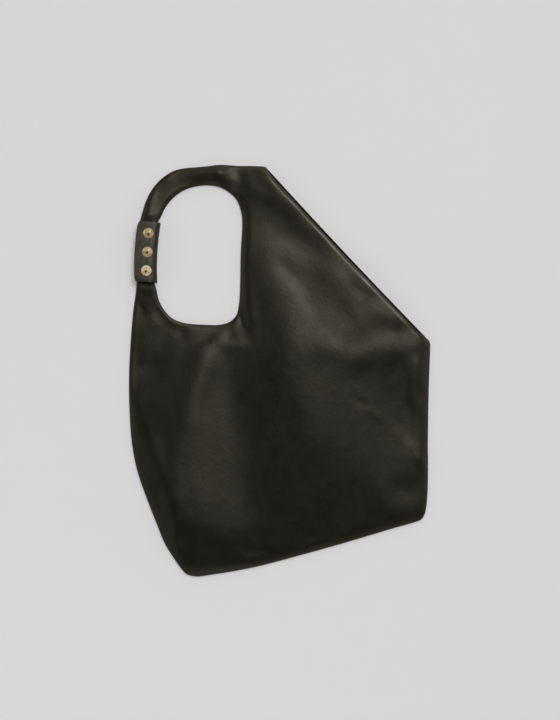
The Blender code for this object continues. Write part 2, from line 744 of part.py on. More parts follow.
def spring_ring():
    """Split ring of round wire."""
    sections = []
    for t in np.linspace(SPRING_SPLIT / 2, math.tau - SPRING_SPLIT / 2, SPRING_STEPS):
        sections.append([
            (
                (CAVITY_RADIUS + SPRING_WIRE_RADIUS * math.cos(a)) * math.cos(t),
                (CAVITY_RADIUS + SPRING_WIRE_RADIUS * math.cos(a)) * math.sin(t),
                spring_height() + SPRING_WIRE_RADIUS * math.sin(a),
            )
            for a in np.arange(SPRING_SIDES) * math.tau / SPRING_SIDES
        ])
    return ribbon(sections)


def stud_profile():
    """Stud with a flange on the under leaf and a ball that enters the socket."""
    bore = POST_RADIUS + SNAP_GAP
    neck = BALL_RADIUS - NECK_INSET
    bevel = STUD_FLANGE_BEVEL
    neck_top, ball_low, ball_high = (
        STUD_FLANGE_TOP_Z + BALL_HEIGHT * share for share in BALL_SHOULDER_SHARES
    )
    return [
        (bore, STUD_Z), (STUD_FLANGE_RADIUS - bevel, STUD_Z),
        (STUD_FLANGE_RADIUS, STUD_Z + bevel), (STUD_FLANGE_RADIUS - bevel, STUD_FLANGE_TOP_Z),
        (neck, STUD_FLANGE_TOP_Z), (neck, neck_top), (BALL_RADIUS, ball_low),
        (BALL_RADIUS, ball_high), (neck, BALL_TOP_Z), (bore, BALL_TOP_Z),
    ]


def post_profile():
    """Post with its flange under the under leaf and its head rolled over the stud."""
    head = POST_RADIUS + POST_HEAD_FLARE
    return [
        (0, POST_BASE_Z), (POST_FLANGE_RADIUS, POST_BASE_Z),
        (POST_FLANGE_RADIUS, POST_BASE_Z + POST_FLANGE),
        (POST_RADIUS, POST_BASE_Z + POST_FLANGE), (POST_RADIUS, POST_HEAD_Z),
        (head, POST_HEAD_Z), (head, POST_HEAD_Z + POST_HEAD / 2),
        (POST_RADIUS, POST_HEAD_Z + POST_HEAD), (0, POST_HEAD_Z + POST_HEAD),
    ]


def press_studs(cuff, fold, brass, steel):
    """Caps, sockets and springs on the flap; studs and posts on the wrap."""
    fold_z = FLAP_TOP_Z + FIT_GAP / 2
    kinds = (
        ("snap_cap", turned(cap_profile()), brass, fold),
        ("snap_socket", turned(socket_profile()), brass, fold),
        ("snap_spring", spring_ring(), steel, fold),
        ("snap_stud", turned(stud_profile()), brass, cuff),
        ("snap_post", turned(post_profile()), brass, cuff),
    )
    for name, maker, metal, parent in kinds:
        shift = (FOLD_ACROSS, fold_z) if parent is fold else (0, 0)
        places = [(SNAP_OFFSET - shift[0], along, -shift[1]) for along in snap_places()]
        first = finish(f"{name}_1", maker, metal, parent, places[0])
        for number, location in enumerate(places[1:], 2):
            place(f"{name}_{number}", first.data, metal, parent, location)


def main():
    """Whole bag."""
    for thing in list(bpy.data.objects):
        bpy.data.objects.remove(thing, do_unlink=True)
    nappa = plain_finish("dark_nappa", (0.020, 0.019, 0.014), 0.42, 0.0)
    lining_side = plain_finish("leather_flesh_side", (0.035, 0.031, 0.024), 0.8, 0.0)
    webbing = plain_finish("cotton_webbing", (0.10, 0.09, 0.07), 0.9, 0.0)
    brass = plain_finish("pale_brass", (0.62, 0.50, 0.32), 0.3, 1.0)
    steel = plain_finish("spring_steel", (0.45, 0.45, 0.46), 0.35, 1.0)
    back_panel(nappa)
    front_panel(nappa)
    mouth_facing("back_mouth_facing", lining_side, 0.0, lambda p: lift(p) + LEATHER + FIT_GAP)
    mouth_facing(
        "front_mouth_facing", lining_side, LIP_SETBACK,
        lambda p: front_underside(p) - FIT_GAP - FACING_LEATHER,
    )
    strap_core(webbing)
    cuff = empty("cuff_place", None, (CUFF_X, CUFF_Y, 0), -CUFF_TILT)
    fold = empty("cuff_fold_line", cuff, (FOLD_ACROSS, 0, FLAP_TOP_Z + FIT_GAP / 2))
    cuff_wrap(nappa, cuff)
    cuff_flap(nappa, fold)
    press_studs(cuff, fold, brass, steel)


main()
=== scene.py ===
# %% [markdown]
# A flat leather tote bag with a slanted mouth, one broad strap cut in one with its body, and a
# leather cuff that closes round the strap on three press studs. It lies on its back, seen from
# straight above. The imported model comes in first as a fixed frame, and every piece made here
# takes its place from that frame. The other way, a free model that is fitted afterwards, would
# drift away from the real sizes.

# %% Load the frame
import math

import bmesh
import bpy
import numpy as np
from mathutils import Matrix, Vector, geometry


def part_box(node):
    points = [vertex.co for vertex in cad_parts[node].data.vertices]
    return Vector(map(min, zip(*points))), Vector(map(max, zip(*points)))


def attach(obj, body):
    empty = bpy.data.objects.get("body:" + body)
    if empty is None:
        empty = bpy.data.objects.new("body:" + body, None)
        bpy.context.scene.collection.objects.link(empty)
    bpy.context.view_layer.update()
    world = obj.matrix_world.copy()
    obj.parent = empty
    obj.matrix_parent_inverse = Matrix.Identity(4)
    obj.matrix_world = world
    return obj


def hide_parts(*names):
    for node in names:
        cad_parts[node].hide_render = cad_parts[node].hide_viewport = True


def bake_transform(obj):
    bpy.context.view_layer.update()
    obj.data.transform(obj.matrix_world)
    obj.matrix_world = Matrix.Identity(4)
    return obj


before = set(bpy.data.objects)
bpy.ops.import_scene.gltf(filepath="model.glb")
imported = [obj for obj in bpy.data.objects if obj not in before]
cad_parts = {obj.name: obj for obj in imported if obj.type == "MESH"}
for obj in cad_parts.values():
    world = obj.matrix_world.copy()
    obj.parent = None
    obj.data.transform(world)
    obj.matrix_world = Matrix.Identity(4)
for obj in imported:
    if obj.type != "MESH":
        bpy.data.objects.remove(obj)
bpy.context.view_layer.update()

MM = 0.001

# %% [markdown]
# The camera looks straight down, as in a flat lay. A long lens from two metres up keeps the
# raised belly of the bag from growing towards the lens. One picture point covers 1.19 mm at the
# height of the bag's seam, so the height of the field fixes the distance.

# %% Camera
POINT = 1.19 * MM
PICTURE_WIDTH, PICTURE_HEIGHT = 560, 720
PICTURE_CENTRE = (279.7, 370.7)
LENS, SENSOR = 85.0, 36.0
SEAM_HEIGHT = 1.5 * MM


def from_picture(column, row):
    """Place on the bag, in metres, of a point of the picture."""
    return (column - PICTURE_CENTRE[0]) * POINT, (PICTURE_CENTRE[1] - row) * POINT


camera_height = PICTURE_HEIGHT * POINT * LENS / SENSOR
camera_data = bpy.data.cameras.new("overhead_camera")
camera_data.lens = LENS
camera_data.sensor_width = SENSOR
camera = bpy.data.objects.new("overhead_camera", camera_data)
bpy.context.scene.collection.objects.link(camera)
middle_x, middle_y = from_picture(PICTURE_WIDTH / 2, PICTURE_HEIGHT / 2)
camera.location = (middle_x, middle_y, camera_height + SEAM_HEIGHT)
bpy.context.scene.camera = camera
bpy.context.scene.view_settings.view_transform = "Standard"
print("camera height in mm:", round(camera.location.z / MM))

# %% [markdown]
# Dark leather shows almost nothing but the reflections of its lamps, so the lamps draw the
# folds. The domed press studs tell where they stood: a small hot spot lies towards the shoulder,
# so the key is a softbox about 27 degrees off the vertical there. Wide, weak panels near the
# horizon keep the brass pale, and they hardly touch leather that faces the camera. One wide
# ceiling lamp would light the leather more evenly, but it would take the folds away.

# %% Lamps
LAMP_DISTANCE = 3.4
KEY_BEARING, KEY_OFF_VERTICAL = 62, 27
KEY_SIZE, KEY_POWER = 1.5, 45
PANEL_SIZE = 2.0
# Bearing, angle off the vertical and power of each weak panel
PANELS = {
    "shoulder_panel": (80, 66, 11), "left_panel": (172, 68, 8),
    "right_panel": (5, 68, 8), "foot_panel": (268, 68, 8),
}
WORLD_GREY = (0.06, 0.06, 0.06, 1)


def lamp(name, bearing, off_vertical, size, power):
    """Square softbox that faces the bag, at a bearing from +X and an angle off the vertical."""
    data = bpy.data.lights.new(name, "AREA")
    data.shape = "SQUARE"
    data.size = size
    data.energy = power
    thing = bpy.data.objects.new(name, data)
    turn, tilt = math.radians(bearing), math.radians(off_vertical)
    towards = Vector((
        math.sin(tilt) * math.cos(turn), math.sin(tilt) * math.sin(turn), math.cos(tilt),
    ))
    thing.location = towards * LAMP_DISTANCE
    thing.rotation_mode = "QUATERNION"
    thing.rotation_quaternion = towards.to_track_quat("Z", "Y")
    thing.visible_camera = False
    bpy.context.scene.collection.objects.link(thing)
    return thing


lamp("key_softbox", KEY_BEARING, KEY_OFF_VERTICAL, KEY_SIZE, KEY_POWER)
for panel_name, (bearing, off_vertical, power) in PANELS.items():
    lamp(panel_name, bearing, off_vertical, PANEL_SIZE, power)

world = bpy.data.worlds.new("studio")
world.use_nodes = True
world.node_tree.nodes["Background"].inputs["Color"].default_value = WORLD_GREY
world.node_tree.nodes["Background"].inputs["Strength"].default_value = 1.0
bpy.context.scene.world = world

# %% [markdown]
# A round sweep of pale card is floor and backdrop in one, so that no horizon shows from any
# side. A flat floor with a wall behind it would show its corner in every low view. The card lies
# a hair below the bag, so that their faces never share a plane.

# %% Backdrop
SWEEP_RADIUS, SWEEP_FILLET, SWEEP_HEIGHT = 4.2, 0.9, 2.4
SWEEP_FIRST_RING, SWEEP_SIDES, SWEEP_ARC_STEPS = 1.2, 64, 8
BACKDROP_DROP = 0.1 * MM


def add_object(name, mesh):
    """Object that shows a mesh, in the scene."""
    thing = bpy.data.objects.new(name, mesh)
    bpy.context.scene.collection.objects.link(thing)
    return thing


def mesh_from(name, corners, faces):
    """Smooth-shaded mesh from its corners and faces."""
    mesh = bpy.data.meshes.new(name)
    mesh.from_pydata([tuple(c) for c in corners], [], [tuple(f) for f in faces])
    mesh.validate()
    mesh.shade_smooth()
    return mesh


def sweep_card():
    """Floor that rises into a wall all round."""
    bend = np.radians(np.linspace(0, 90, SWEEP_ARC_STEPS + 1))[1:]
    radii = [0.0, SWEEP_FIRST_RING, SWEEP_RADIUS - SWEEP_FILLET]
    heights = [0.0, 0.0, 0.0]
    radii += list(SWEEP_RADIUS - SWEEP_FILLET + SWEEP_FILLET * np.sin(bend))
    heights += list(SWEEP_FILLET - SWEEP_FILLET * np.cos(bend))
    radii.append(SWEEP_RADIUS)
    heights.append(SWEEP_HEIGHT)
    corners = [(0, 0, 0)]
    for radius, height in list(zip(radii, heights))[1:]:
        for turn in np.arange(SWEEP_SIDES) * math.tau / SWEEP_SIDES:
            corners.append((radius * math.cos(turn), radius * math.sin(turn), height))
    faces = [(0, 1 + k, 1 + (k + 1) % SWEEP_SIDES) for k in range(SWEEP_SIDES)]
    for ring in range(len(radii) - 2):
        low, high = 1 + ring * SWEEP_SIDES, 1 + (ring + 1) * SWEEP_SIDES
        for k in range(SWEEP_SIDES):
            after = (k + 1) % SWEEP_SIDES
            faces.append((low + k, high + k, high + after, low + after))
    return mesh_from("sweep_card", corners, faces)


backdrop = add_object("sweep_card", sweep_card())
backdrop.location.z = -BACKDROP_DROP
print("backdrop corners:", len(backdrop.data.vertices))

# %% [markdown]
# A finish is a small net of nodes, written as short calls: each one makes a node, sets it and
# joins its inputs. Effects that come back in several finishes are node groups, and each finish
# places them with its own scale. Image textures would look alike from afar, but they need
# unwrapping and stay blurred close up.

# %% Node helpers
def node(tree, kind, inputs=(), **settings):
    """Node of a kind, with its settings and its constant or linked inputs."""
    made = tree.nodes.new("ShaderNode" + kind)
    for key, value in settings.items():
        setattr(made, key, value)
    for key, value in dict(inputs).items():
        if isinstance(value, bpy.types.NodeSocket):
            tree.links.new(value, made.inputs[key])
        else:
            made.inputs[key].default_value = value
    return made


def group(name, inputs, outputs):
    """Empty node group with named sockets, and its two end nodes."""
    tree = bpy.data.node_groups.new(name, "ShaderNodeTree")
    for label, kind, value in inputs:
        socket = tree.interface.new_socket(label, in_out="INPUT", socket_type="NodeSocket" + kind)
        if value is not None:
            socket.default_value = value
    for label, kind in outputs:
        tree.interface.new_socket(label, in_out="OUTPUT", socket_type="NodeSocket" + kind)
    return tree, tree.nodes.new("NodeGroupInput"), tree.nodes.new("NodeGroupOutput")


def place_group(tree, which, inputs):
    """Node that places a group in a material."""
    made = tree.nodes.new("ShaderNodeGroup")
    made.node_tree = which
    for key, value in inputs.items():
        if isinstance(value, bpy.types.NodeSocket):
            tree.links.new(value, made.inputs[key])
        else:
            made.inputs[key].default_value = value
    return made


def new_finish(name):
    """Material with its tree, its Principled shader and object coordinates."""
    finish = bpy.data.materials.new(name)
    finish.use_nodes = True
    tree = finish.node_tree
    shader = tree.nodes["Principled BSDF"]
    where = tree.nodes.new("ShaderNodeTexCoord").outputs["Object"]
    return finish, tree, shader, where


def mix_colours(tree, mask, one, two):
    """Colour socket between two colours by a mask."""
    return node(tree, "Mix", {
        0: mask, 6: (*one, 1.0), 7: (*two, 1.0),
    }, data_type="RGBA").outputs[2]


def mix_values(tree, mask, low, high):
    """Value socket from low to high by a mask."""
    return node(tree, "MapRange", {"Value": mask, "To Min": low, "To Max": high}).outputs["Result"]


print("materials before the finishes:", len(bpy.data.materials))

# %% [markdown]
# Two groups work on the surface as a whole. Fine grain takes the cells that a voronoi texture
# draws, bends them by noise and adds a little fuzz. Tone drift is a slow, cloudy change between
# two values. Plain noise would give the grain no cells.

# %% Grain and tone groups
GRAIN_DRIFT = 0.6
GRAIN_SLOPE, GRAIN_FUZZ = 0.32, 0.3


def fine_grain():
    """Height of a fine grain of flat cells, parted by furrows, with a little fuzz."""
    tree, entry, leave = group(
        "fine_grain",
        [("Vector", "Vector", None), ("Cells per metre", "Float", 900.0),
         ("Wander", "Float", 0.35)],
        [("Height", "Float")],
    )
    wide = node(tree, "Math", {
        0: entry.outputs["Cells per metre"], 1: GRAIN_DRIFT,
    }, operation="MULTIPLY")
    drift = node(tree, "TexNoise", {
        "Vector": entry.outputs["Vector"], "Scale": wide.outputs[0], "Detail": 2.0,
    })
    offset = node(tree, "VectorMath", {
        0: drift.outputs["Color"], "Scale": entry.outputs["Wander"],
    }, operation="SCALE")
    scaled = node(tree, "VectorMath", {
        0: entry.outputs["Vector"], "Scale": entry.outputs["Cells per metre"],
    }, operation="SCALE")
    warped = node(tree, "VectorMath", {0: scaled.outputs[0], 1: offset.outputs[0]}, operation="ADD")
    cells = node(tree, "TexVoronoi", {
        "Vector": warped.outputs[0], "Scale": 1.0,
    }, feature="DISTANCE_TO_EDGE")
    plateau = node(tree, "MapRange", {
        "Value": cells.outputs["Distance"], "From Min": 0.0, "From Max": GRAIN_SLOPE,
    }, interpolation_type="SMOOTHSTEP")
    fuzz = node(tree, "TexNoise", {
        "Vector": scaled.outputs[0], "Scale": 2.6, "Detail": 3.0, "Roughness": 0.6,
    })
    height = node(tree, "Mix", {
        0: GRAIN_FUZZ, 2: plateau.outputs["Result"], 3: fuzz.outputs["Fac"],
    })
    tree.links.new(height.outputs[0], leave.inputs["Height"])
    return tree


def tone_drift():
    """Slow, cloudy mask from 0 to 1."""
    tree, entry, leave = group(
        "tone_drift",
        [("Vector", "Vector", None), ("Clouds per metre", "Float", 20.0),
         ("Contrast", "Float", 1.0)],
        [("Mask", "Float")],
    )
    clouds = node(tree, "TexNoise", {
        "Vector": entry.outputs["Vector"], "Scale": entry.outputs["Clouds per metre"],
        "Detail": 4.0, "Roughness": 0.55, "Distortion": 0.4,
    })
    centred = node(tree, "Math", {0: clouds.outputs["Fac"], 1: 0.5}, operation="SUBTRACT")
    spread = node(tree, "Math", {
        0: centred.outputs[0], 1: entry.outputs["Contrast"], 2: 0.5,
    }, operation="MULTIPLY_ADD", use_clamp=True)
    tree.links.new(spread.outputs[0], leave.inputs["Mask"])
    return tree


FINE_GRAIN = fine_grain()
TONE_DRIFT = tone_drift()
print("nodes in the grain and tone groups:", len(FINE_GRAIN.nodes), len(TONE_DRIFT.nodes))

# %% [markdown]
# Two more groups tell of handling. Soft dents break up a reflection. Rim wear is a mask that is
# full at a piece's rim and gives out in patches further in. A rim of one even width would look
# painted on.

# %% Dent and wear groups
def soft_dents():
    """Height of shallow dents, from a centimetre down to a few millimetres."""
    tree, entry, leave = group(
        "soft_dents",
        [("Vector", "Vector", None), ("Dents per metre", "Float", 90.0), ("Wander", "Float", 0.6)],
        [("Height", "Float")],
    )
    dents = node(tree, "TexNoise", {
        "Vector": entry.outputs["Vector"], "Scale": entry.outputs["Dents per metre"],
        "Detail": 4.0, "Roughness": 0.68, "Distortion": entry.outputs["Wander"],
    })
    tree.links.new(dents.outputs["Fac"], leave.inputs["Height"])
    return tree


# The noise is 0.5 on average, and this factor makes that the full reach
NOISE_TO_ONE = 2.0


def rim_wear():
    """Mask that is 1 along a piece's rim and breaks up over a reach inwards."""
    tree, entry, leave = group(
        "rim_wear",
        [("Depth", "Float", 0.0), ("Vector", "Vector", None), ("Reach", "Float", 1.5 * MM),
         ("Patches per metre", "Float", 160.0)],
        [("Mask", "Float")],
    )
    patches = node(tree, "TexNoise", {
        "Vector": entry.outputs["Vector"], "Scale": entry.outputs["Patches per metre"],
        "Detail": 3.0,
    })
    spread = node(tree, "Math", {
        0: patches.outputs["Fac"], 1: entry.outputs["Reach"],
    }, operation="MULTIPLY")
    reach = node(tree, "Math", {0: spread.outputs[0], 1: NOISE_TO_ONE}, operation="MULTIPLY")
    fade = node(tree, "MapRange", {
        "Value": entry.outputs["Depth"], "From Min": 0.0, "From Max": reach.outputs[0],
        "To Min": 1.0, "To Max": 0.0,
    }, interpolation_type="SMOOTHSTEP")
    tree.links.new(fade.outputs["Result"], leave.inputs["Mask"])
    return tree


SOFT_DENTS = soft_dents()
RIM_WEAR = rim_wear()
print("node groups:", [tree.name for tree in bpy.data.node_groups])

# %% [markdown]
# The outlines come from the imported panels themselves. A side face of a flat solid covers only
# two places when seen from above, and those pairs chain into the closed outline. Tracing the
# picture again would give a second outline that fits the frame less well.

# %% Outline of a flat solid
OUTLINE_DIGITS = 5


def outline_of(name):
    """Closed outline of a flat CAD node seen from above, anticlockwise."""
    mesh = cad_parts[name].data
    corners = [tuple(np.round(v.co[:2], OUTLINE_DIGITS)) for v in mesh.vertices]
    near = {}
    for face in mesh.polygons:
        places = {corners[k] for k in face.vertices}
        if len(places) == 2:
            a, b = places
            near.setdefault(a, set()).add(b)
            near.setdefault(b, set()).add(a)
    start = min(near)
    loop = [start, min(near[start])]
    while True:
        onward = [p for p in near[loop[-1]] if p != loop[-2]]
        if onward[0] == start:
            break
        loop.append(onward[0])
    loop = np.array(loop, float)
    x, y = loop.T
    area = (x * np.roll(y, -1) - np.roll(x, -1) * y).sum()
    return loop if area > 0 else loop[::-1]


for flat_node in ("front_panel", "back_panel", "strap_core"):
    print(flat_node, "outline corners:", len(outline_of(flat_node)))

# %% [markdown]
# The outline's corners part it into runs: hand hole, sewn outer edge, mouth, and shoulder with
# strap. A smooth curve through each run takes the facets away, and the curve still passes
# through every corner of the solid. A spline that only comes near its points would shrink the
# tight bends.

# %% Smooth runs of the two panels
EDGE_STEP = 2.4 * MM
CORNER_TURN = math.radians(38)
MOUTH_CORNER = from_picture(427.8, 339.4)
MOUTH_TIP = from_picture(429.5, 341.2)
RUN_GUIDES = {
    "hole": from_picture(202, 185), "outer": from_picture(300, 545),
    "mouth": from_picture(347, 253), "top": from_picture(215, 165),
}


def smooth_run(points, step):
    """Smooth curve through a run of points, about a step apart."""
    ring = np.array([2 * points[0] - points[1], *points, 2 * points[-1] - points[-2]])
    samples = []
    for before, start, end, after in zip(ring, ring[1:], ring[2:], ring[3:]):
        knots = [math.sqrt(np.linalg.norm(b - a)) for a, b in (
            (before, start), (start, end), (end, after),
        )]
        chord = end - start
        leave = chord + knots[1] * (
            (start - before) / knots[0] - (end - before) / (knots[0] + knots[1])
        )
        arrive = chord + knots[1] * (
            (after - end) / knots[2] - (after - start) / (knots[1] + knots[2])
        )
        count = max(1, round(np.linalg.norm(chord) / step))
        for t in np.arange(count) / count:
            samples.append(
                start + leave * t + (3 * chord - 2 * leave - arrive) * t**2
                + (leave + arrive - 2 * chord) * t**3
            )
    samples.append(points[-1])
    return np.array(samples)


def runs_of(name):
    """Smooth runs of a panel's outline between its corners, by name."""
    loop = outline_of(name)
    tip = np.linalg.norm(loop - np.array(MOUTH_CORNER), axis=1).argmin()
    loop = np.insert(loop, tip, MOUTH_TIP, axis=0)
    ahead = np.roll(loop, -1, axis=0) - loop
    behind = loop - np.roll(loop, 1, axis=0)
    cross = behind[:, 0] * ahead[:, 1] - behind[:, 1] * ahead[:, 0]
    turns = np.arctan2(cross, (behind * ahead).sum(axis=1))
    corners = sorted({*np.flatnonzero(np.abs(turns) > CORNER_TURN), tip})
    pieces = []
    for a, b in zip(corners, [*corners[1:], corners[0] + len(loop)]):
        points = loop[np.arange(a, b + 1) % len(loop)]
        pieces.append(smooth_run(points, EDGE_STEP))
    named = {}
    for label, guide in RUN_GUIDES.items():
        gaps = [np.linalg.norm(run - np.array(guide), axis=1).min() for run in pieces]
        named[label] = int(np.argmin(gaps))
    print(name, "runs:", {k: len(pieces[v]) for k, v in named.items()}, "of", len(pieces))
    return pieces, {label: pieces[k] for label, k in named.items()}


FRONT_PIECES, FRONT_RUNS = runs_of("front_panel")
BACK_PIECES, BACK_RUNS = runs_of("back_panel")

# %% [markdown]
# The outer run is parted once more at the two foot corners. Leather stands up from each sewn
# edge by itself, and a corner between two edges has to stay low, which one long run would not
# know.

# %% Sewn edges
FOOT_CORNERS = (from_picture(191, 576), from_picture(424, 516))


def sewn_edges(runs):
    """The sewn edges of a panel: hole, shoulder with strap, left side, foot and right side."""
    outer = runs["outer"]
    one, two = (np.linalg.norm(outer - np.array(c), axis=1).argmin() for c in FOOT_CORNERS)
    return runs["hole"], runs["top"], outer[: one + 1], outer[one : two + 1], outer[two:]


FRONT_SEWN, BACK_SEWN = sewn_edges(FRONT_RUNS), sewn_edges(BACK_RUNS)
print("points on the front's sewn edges:", [len(edge) for edge in FRONT_SEWN])
print("mouth from", FRONT_RUNS["mouth"][0].round(3), "to", FRONT_RUNS["mouth"][-1].round(3))

# %% [markdown]
# The strap's tape follows the middle of the strap. Its two long sides come from the outline of
# its own CAD node, walked from one end to the other, so the tape keeps its true width where the
# strap bends. The middle of the hole's and the shoulder's edge would wander there.

# %% Line of the strap tape
TAPE_STATIONS = 90


def resample(run, places):
    """Points of a run at lengths along it."""
    run = np.asarray(run, float)
    lengths = np.concatenate(([0.0], np.cumsum(np.linalg.norm(np.diff(run, axis=0), axis=1))))
    return np.column_stack([np.interp(places, lengths, column) for column in run.T])


def run_length(run):
    """Length of a run of points."""
    return np.linalg.norm(np.diff(np.asarray(run, float), axis=0), axis=1).sum()


def tape_sides():
    """Matching points on the two long sides of the strap tape, from its low end to its high end."""
    loop = outline_of("strap_core")
    low, high = loop[:, 1].argmin(), loop[:, 1].argmax()
    sides = []
    for first, last in ((low, high), (high, low)):
        if last < first:
            last += len(loop)
        sides.append(loop[np.arange(first, last + 1) % len(loop)])
    return [
        resample(side, np.linspace(0, run_length(side), TAPE_STATIONS))
        for side in (sides[0], sides[1][::-1])
    ]


TAPE_SIDES = tape_sides()
TAPE_LINE = (TAPE_SIDES[0] + TAPE_SIDES[1]) / 2
TAPE_HALF = np.linalg.norm(TAPE_SIDES[1] - TAPE_SIDES[0], axis=1).mean() / 2
print("tape length in mm:", round(run_length(TAPE_LINE) / MM))
print("tape half width in mm:", round(TAPE_HALF / MM, 1))

# %% [markdown]
# The front of an empty bag that lies flat is one soft sheet. It rolls over its turned seams and
# swells a little, so its height follows the distance to the sewn edges. Two distances serve: one
# keeps close to the nearest edge, and a softer one blends the edges, so that no ridge stands
# where two of them are equally near. The plain nearest distance alone would give such ridges.

# %% Distances from the edges
BLOCK_POINTS = 1500
LEAST_DISTANCE = 0.02 * MM
# Powers that join the distances to several edges: close to the nearest one, and softer
CLOSE_POWER, SOFT_POWER = 4.0, 2.0


def smooth_step(t):
    """Ease from 0 to 1."""
    t = np.clip(t, 0.0, 1.0)
    return t * t * (3 - 2 * t)


def distances(points, run):
    """Distance of each point to a run of points."""
    run = np.asarray(run, float)
    found = []
    for block in np.array_split(points, max(1, len(points) // BLOCK_POINTS)):
        reach = block[:, None] - run[:-1]
        span = run[1:] - run[:-1]
        t = np.clip((reach * span).sum(axis=2) / (span * span).sum(axis=1), 0.0, 1.0)
        found.append(np.linalg.norm(reach - t[:, :, None] * span, axis=2).min(axis=1))
    return np.concatenate(found)


def sewn_distances(points, edges):
    """Distance to the nearest sewn edge, and a softer one that blends the edges."""
    near = [np.maximum(distances(points, edge), LEAST_DISTANCE) for edge in edges]
    return tuple(
        sum(d**-power for d in near) ** (-1 / power) for power in (CLOSE_POWER, SOFT_POWER)
    )


def roll(depth, radius):
    """Quarter-round rise from 0 to 1 over a radius from an edge."""
    t = 1 - np.clip(depth / radius, 0.0, 1.0)
    return np.sqrt(1 - t * t)


BELLY = np.array([from_picture(290, 420)])
belly_near, belly_soft = sewn_distances(BELLY, FRONT_SEWN)
print("belly to its sewn edges in mm:", (belly_near / MM).round(), (belly_soft / MM).round())

# %% [markdown]
# The cuff presses the strap together and lifts it by its own under side. Both effects ease out
# beyond the cuff's ends, in a frame of its own that is turned a few degrees with the strap. A
# sudden step there would look like a cut in the leather.

# %% Where the cuff holds the strap
CUFF_CENTRE = np.array((-157.9, 140.72)) * MM
CUFF_TILT = math.radians(3.3)
CUFF_LENGTH, CUFF_WIDTH = 71.0 * MM, 26.5 * MM
CUFF_LIFT, CUFF_LIFT_REACH = 1.5 * MM, 30.0 * MM
CUFF_SQUEEZE_REACH = 9.0 * MM


def cuff_coordinates(points):
    """Places across and along the cuff of points of the bag."""
    x, y = (points - CUFF_CENTRE).T
    return (
        x * math.cos(CUFF_TILT) - y * math.sin(CUFF_TILT),
        x * math.sin(CUFF_TILT) + y * math.cos(CUFF_TILT),
    )


def past_cuff(points, reach):
    """1 inside the cuff, easing to 0 over a reach beyond its ends, and 0 off the strap."""
    across, along = cuff_coordinates(points)
    weight = 1 - smooth_step((np.abs(along) - CUFF_LENGTH / 2) / reach)
    return np.where(np.abs(across) < CUFF_WIDTH, weight, 0.0)


held_points = past_cuff(FRONT_RUNS["top"], CUFF_SQUEEZE_REACH) > 0
print("points of the strap's edge that the cuff holds:", int(held_points.sum()))

# %% [markdown]
# The front carries the long, low folds of use. Each one is a smooth bump along a few places,
# given by how wide it is, how high at its two ends, and where it runs. A cloth simulation gives
# folds as well, but not these ones, and the soft lamps show every slope of a few degrees.

# %% Folds of the front
# How steeply a fold comes in at its two ends, per half width
FOLD_END = 1.2
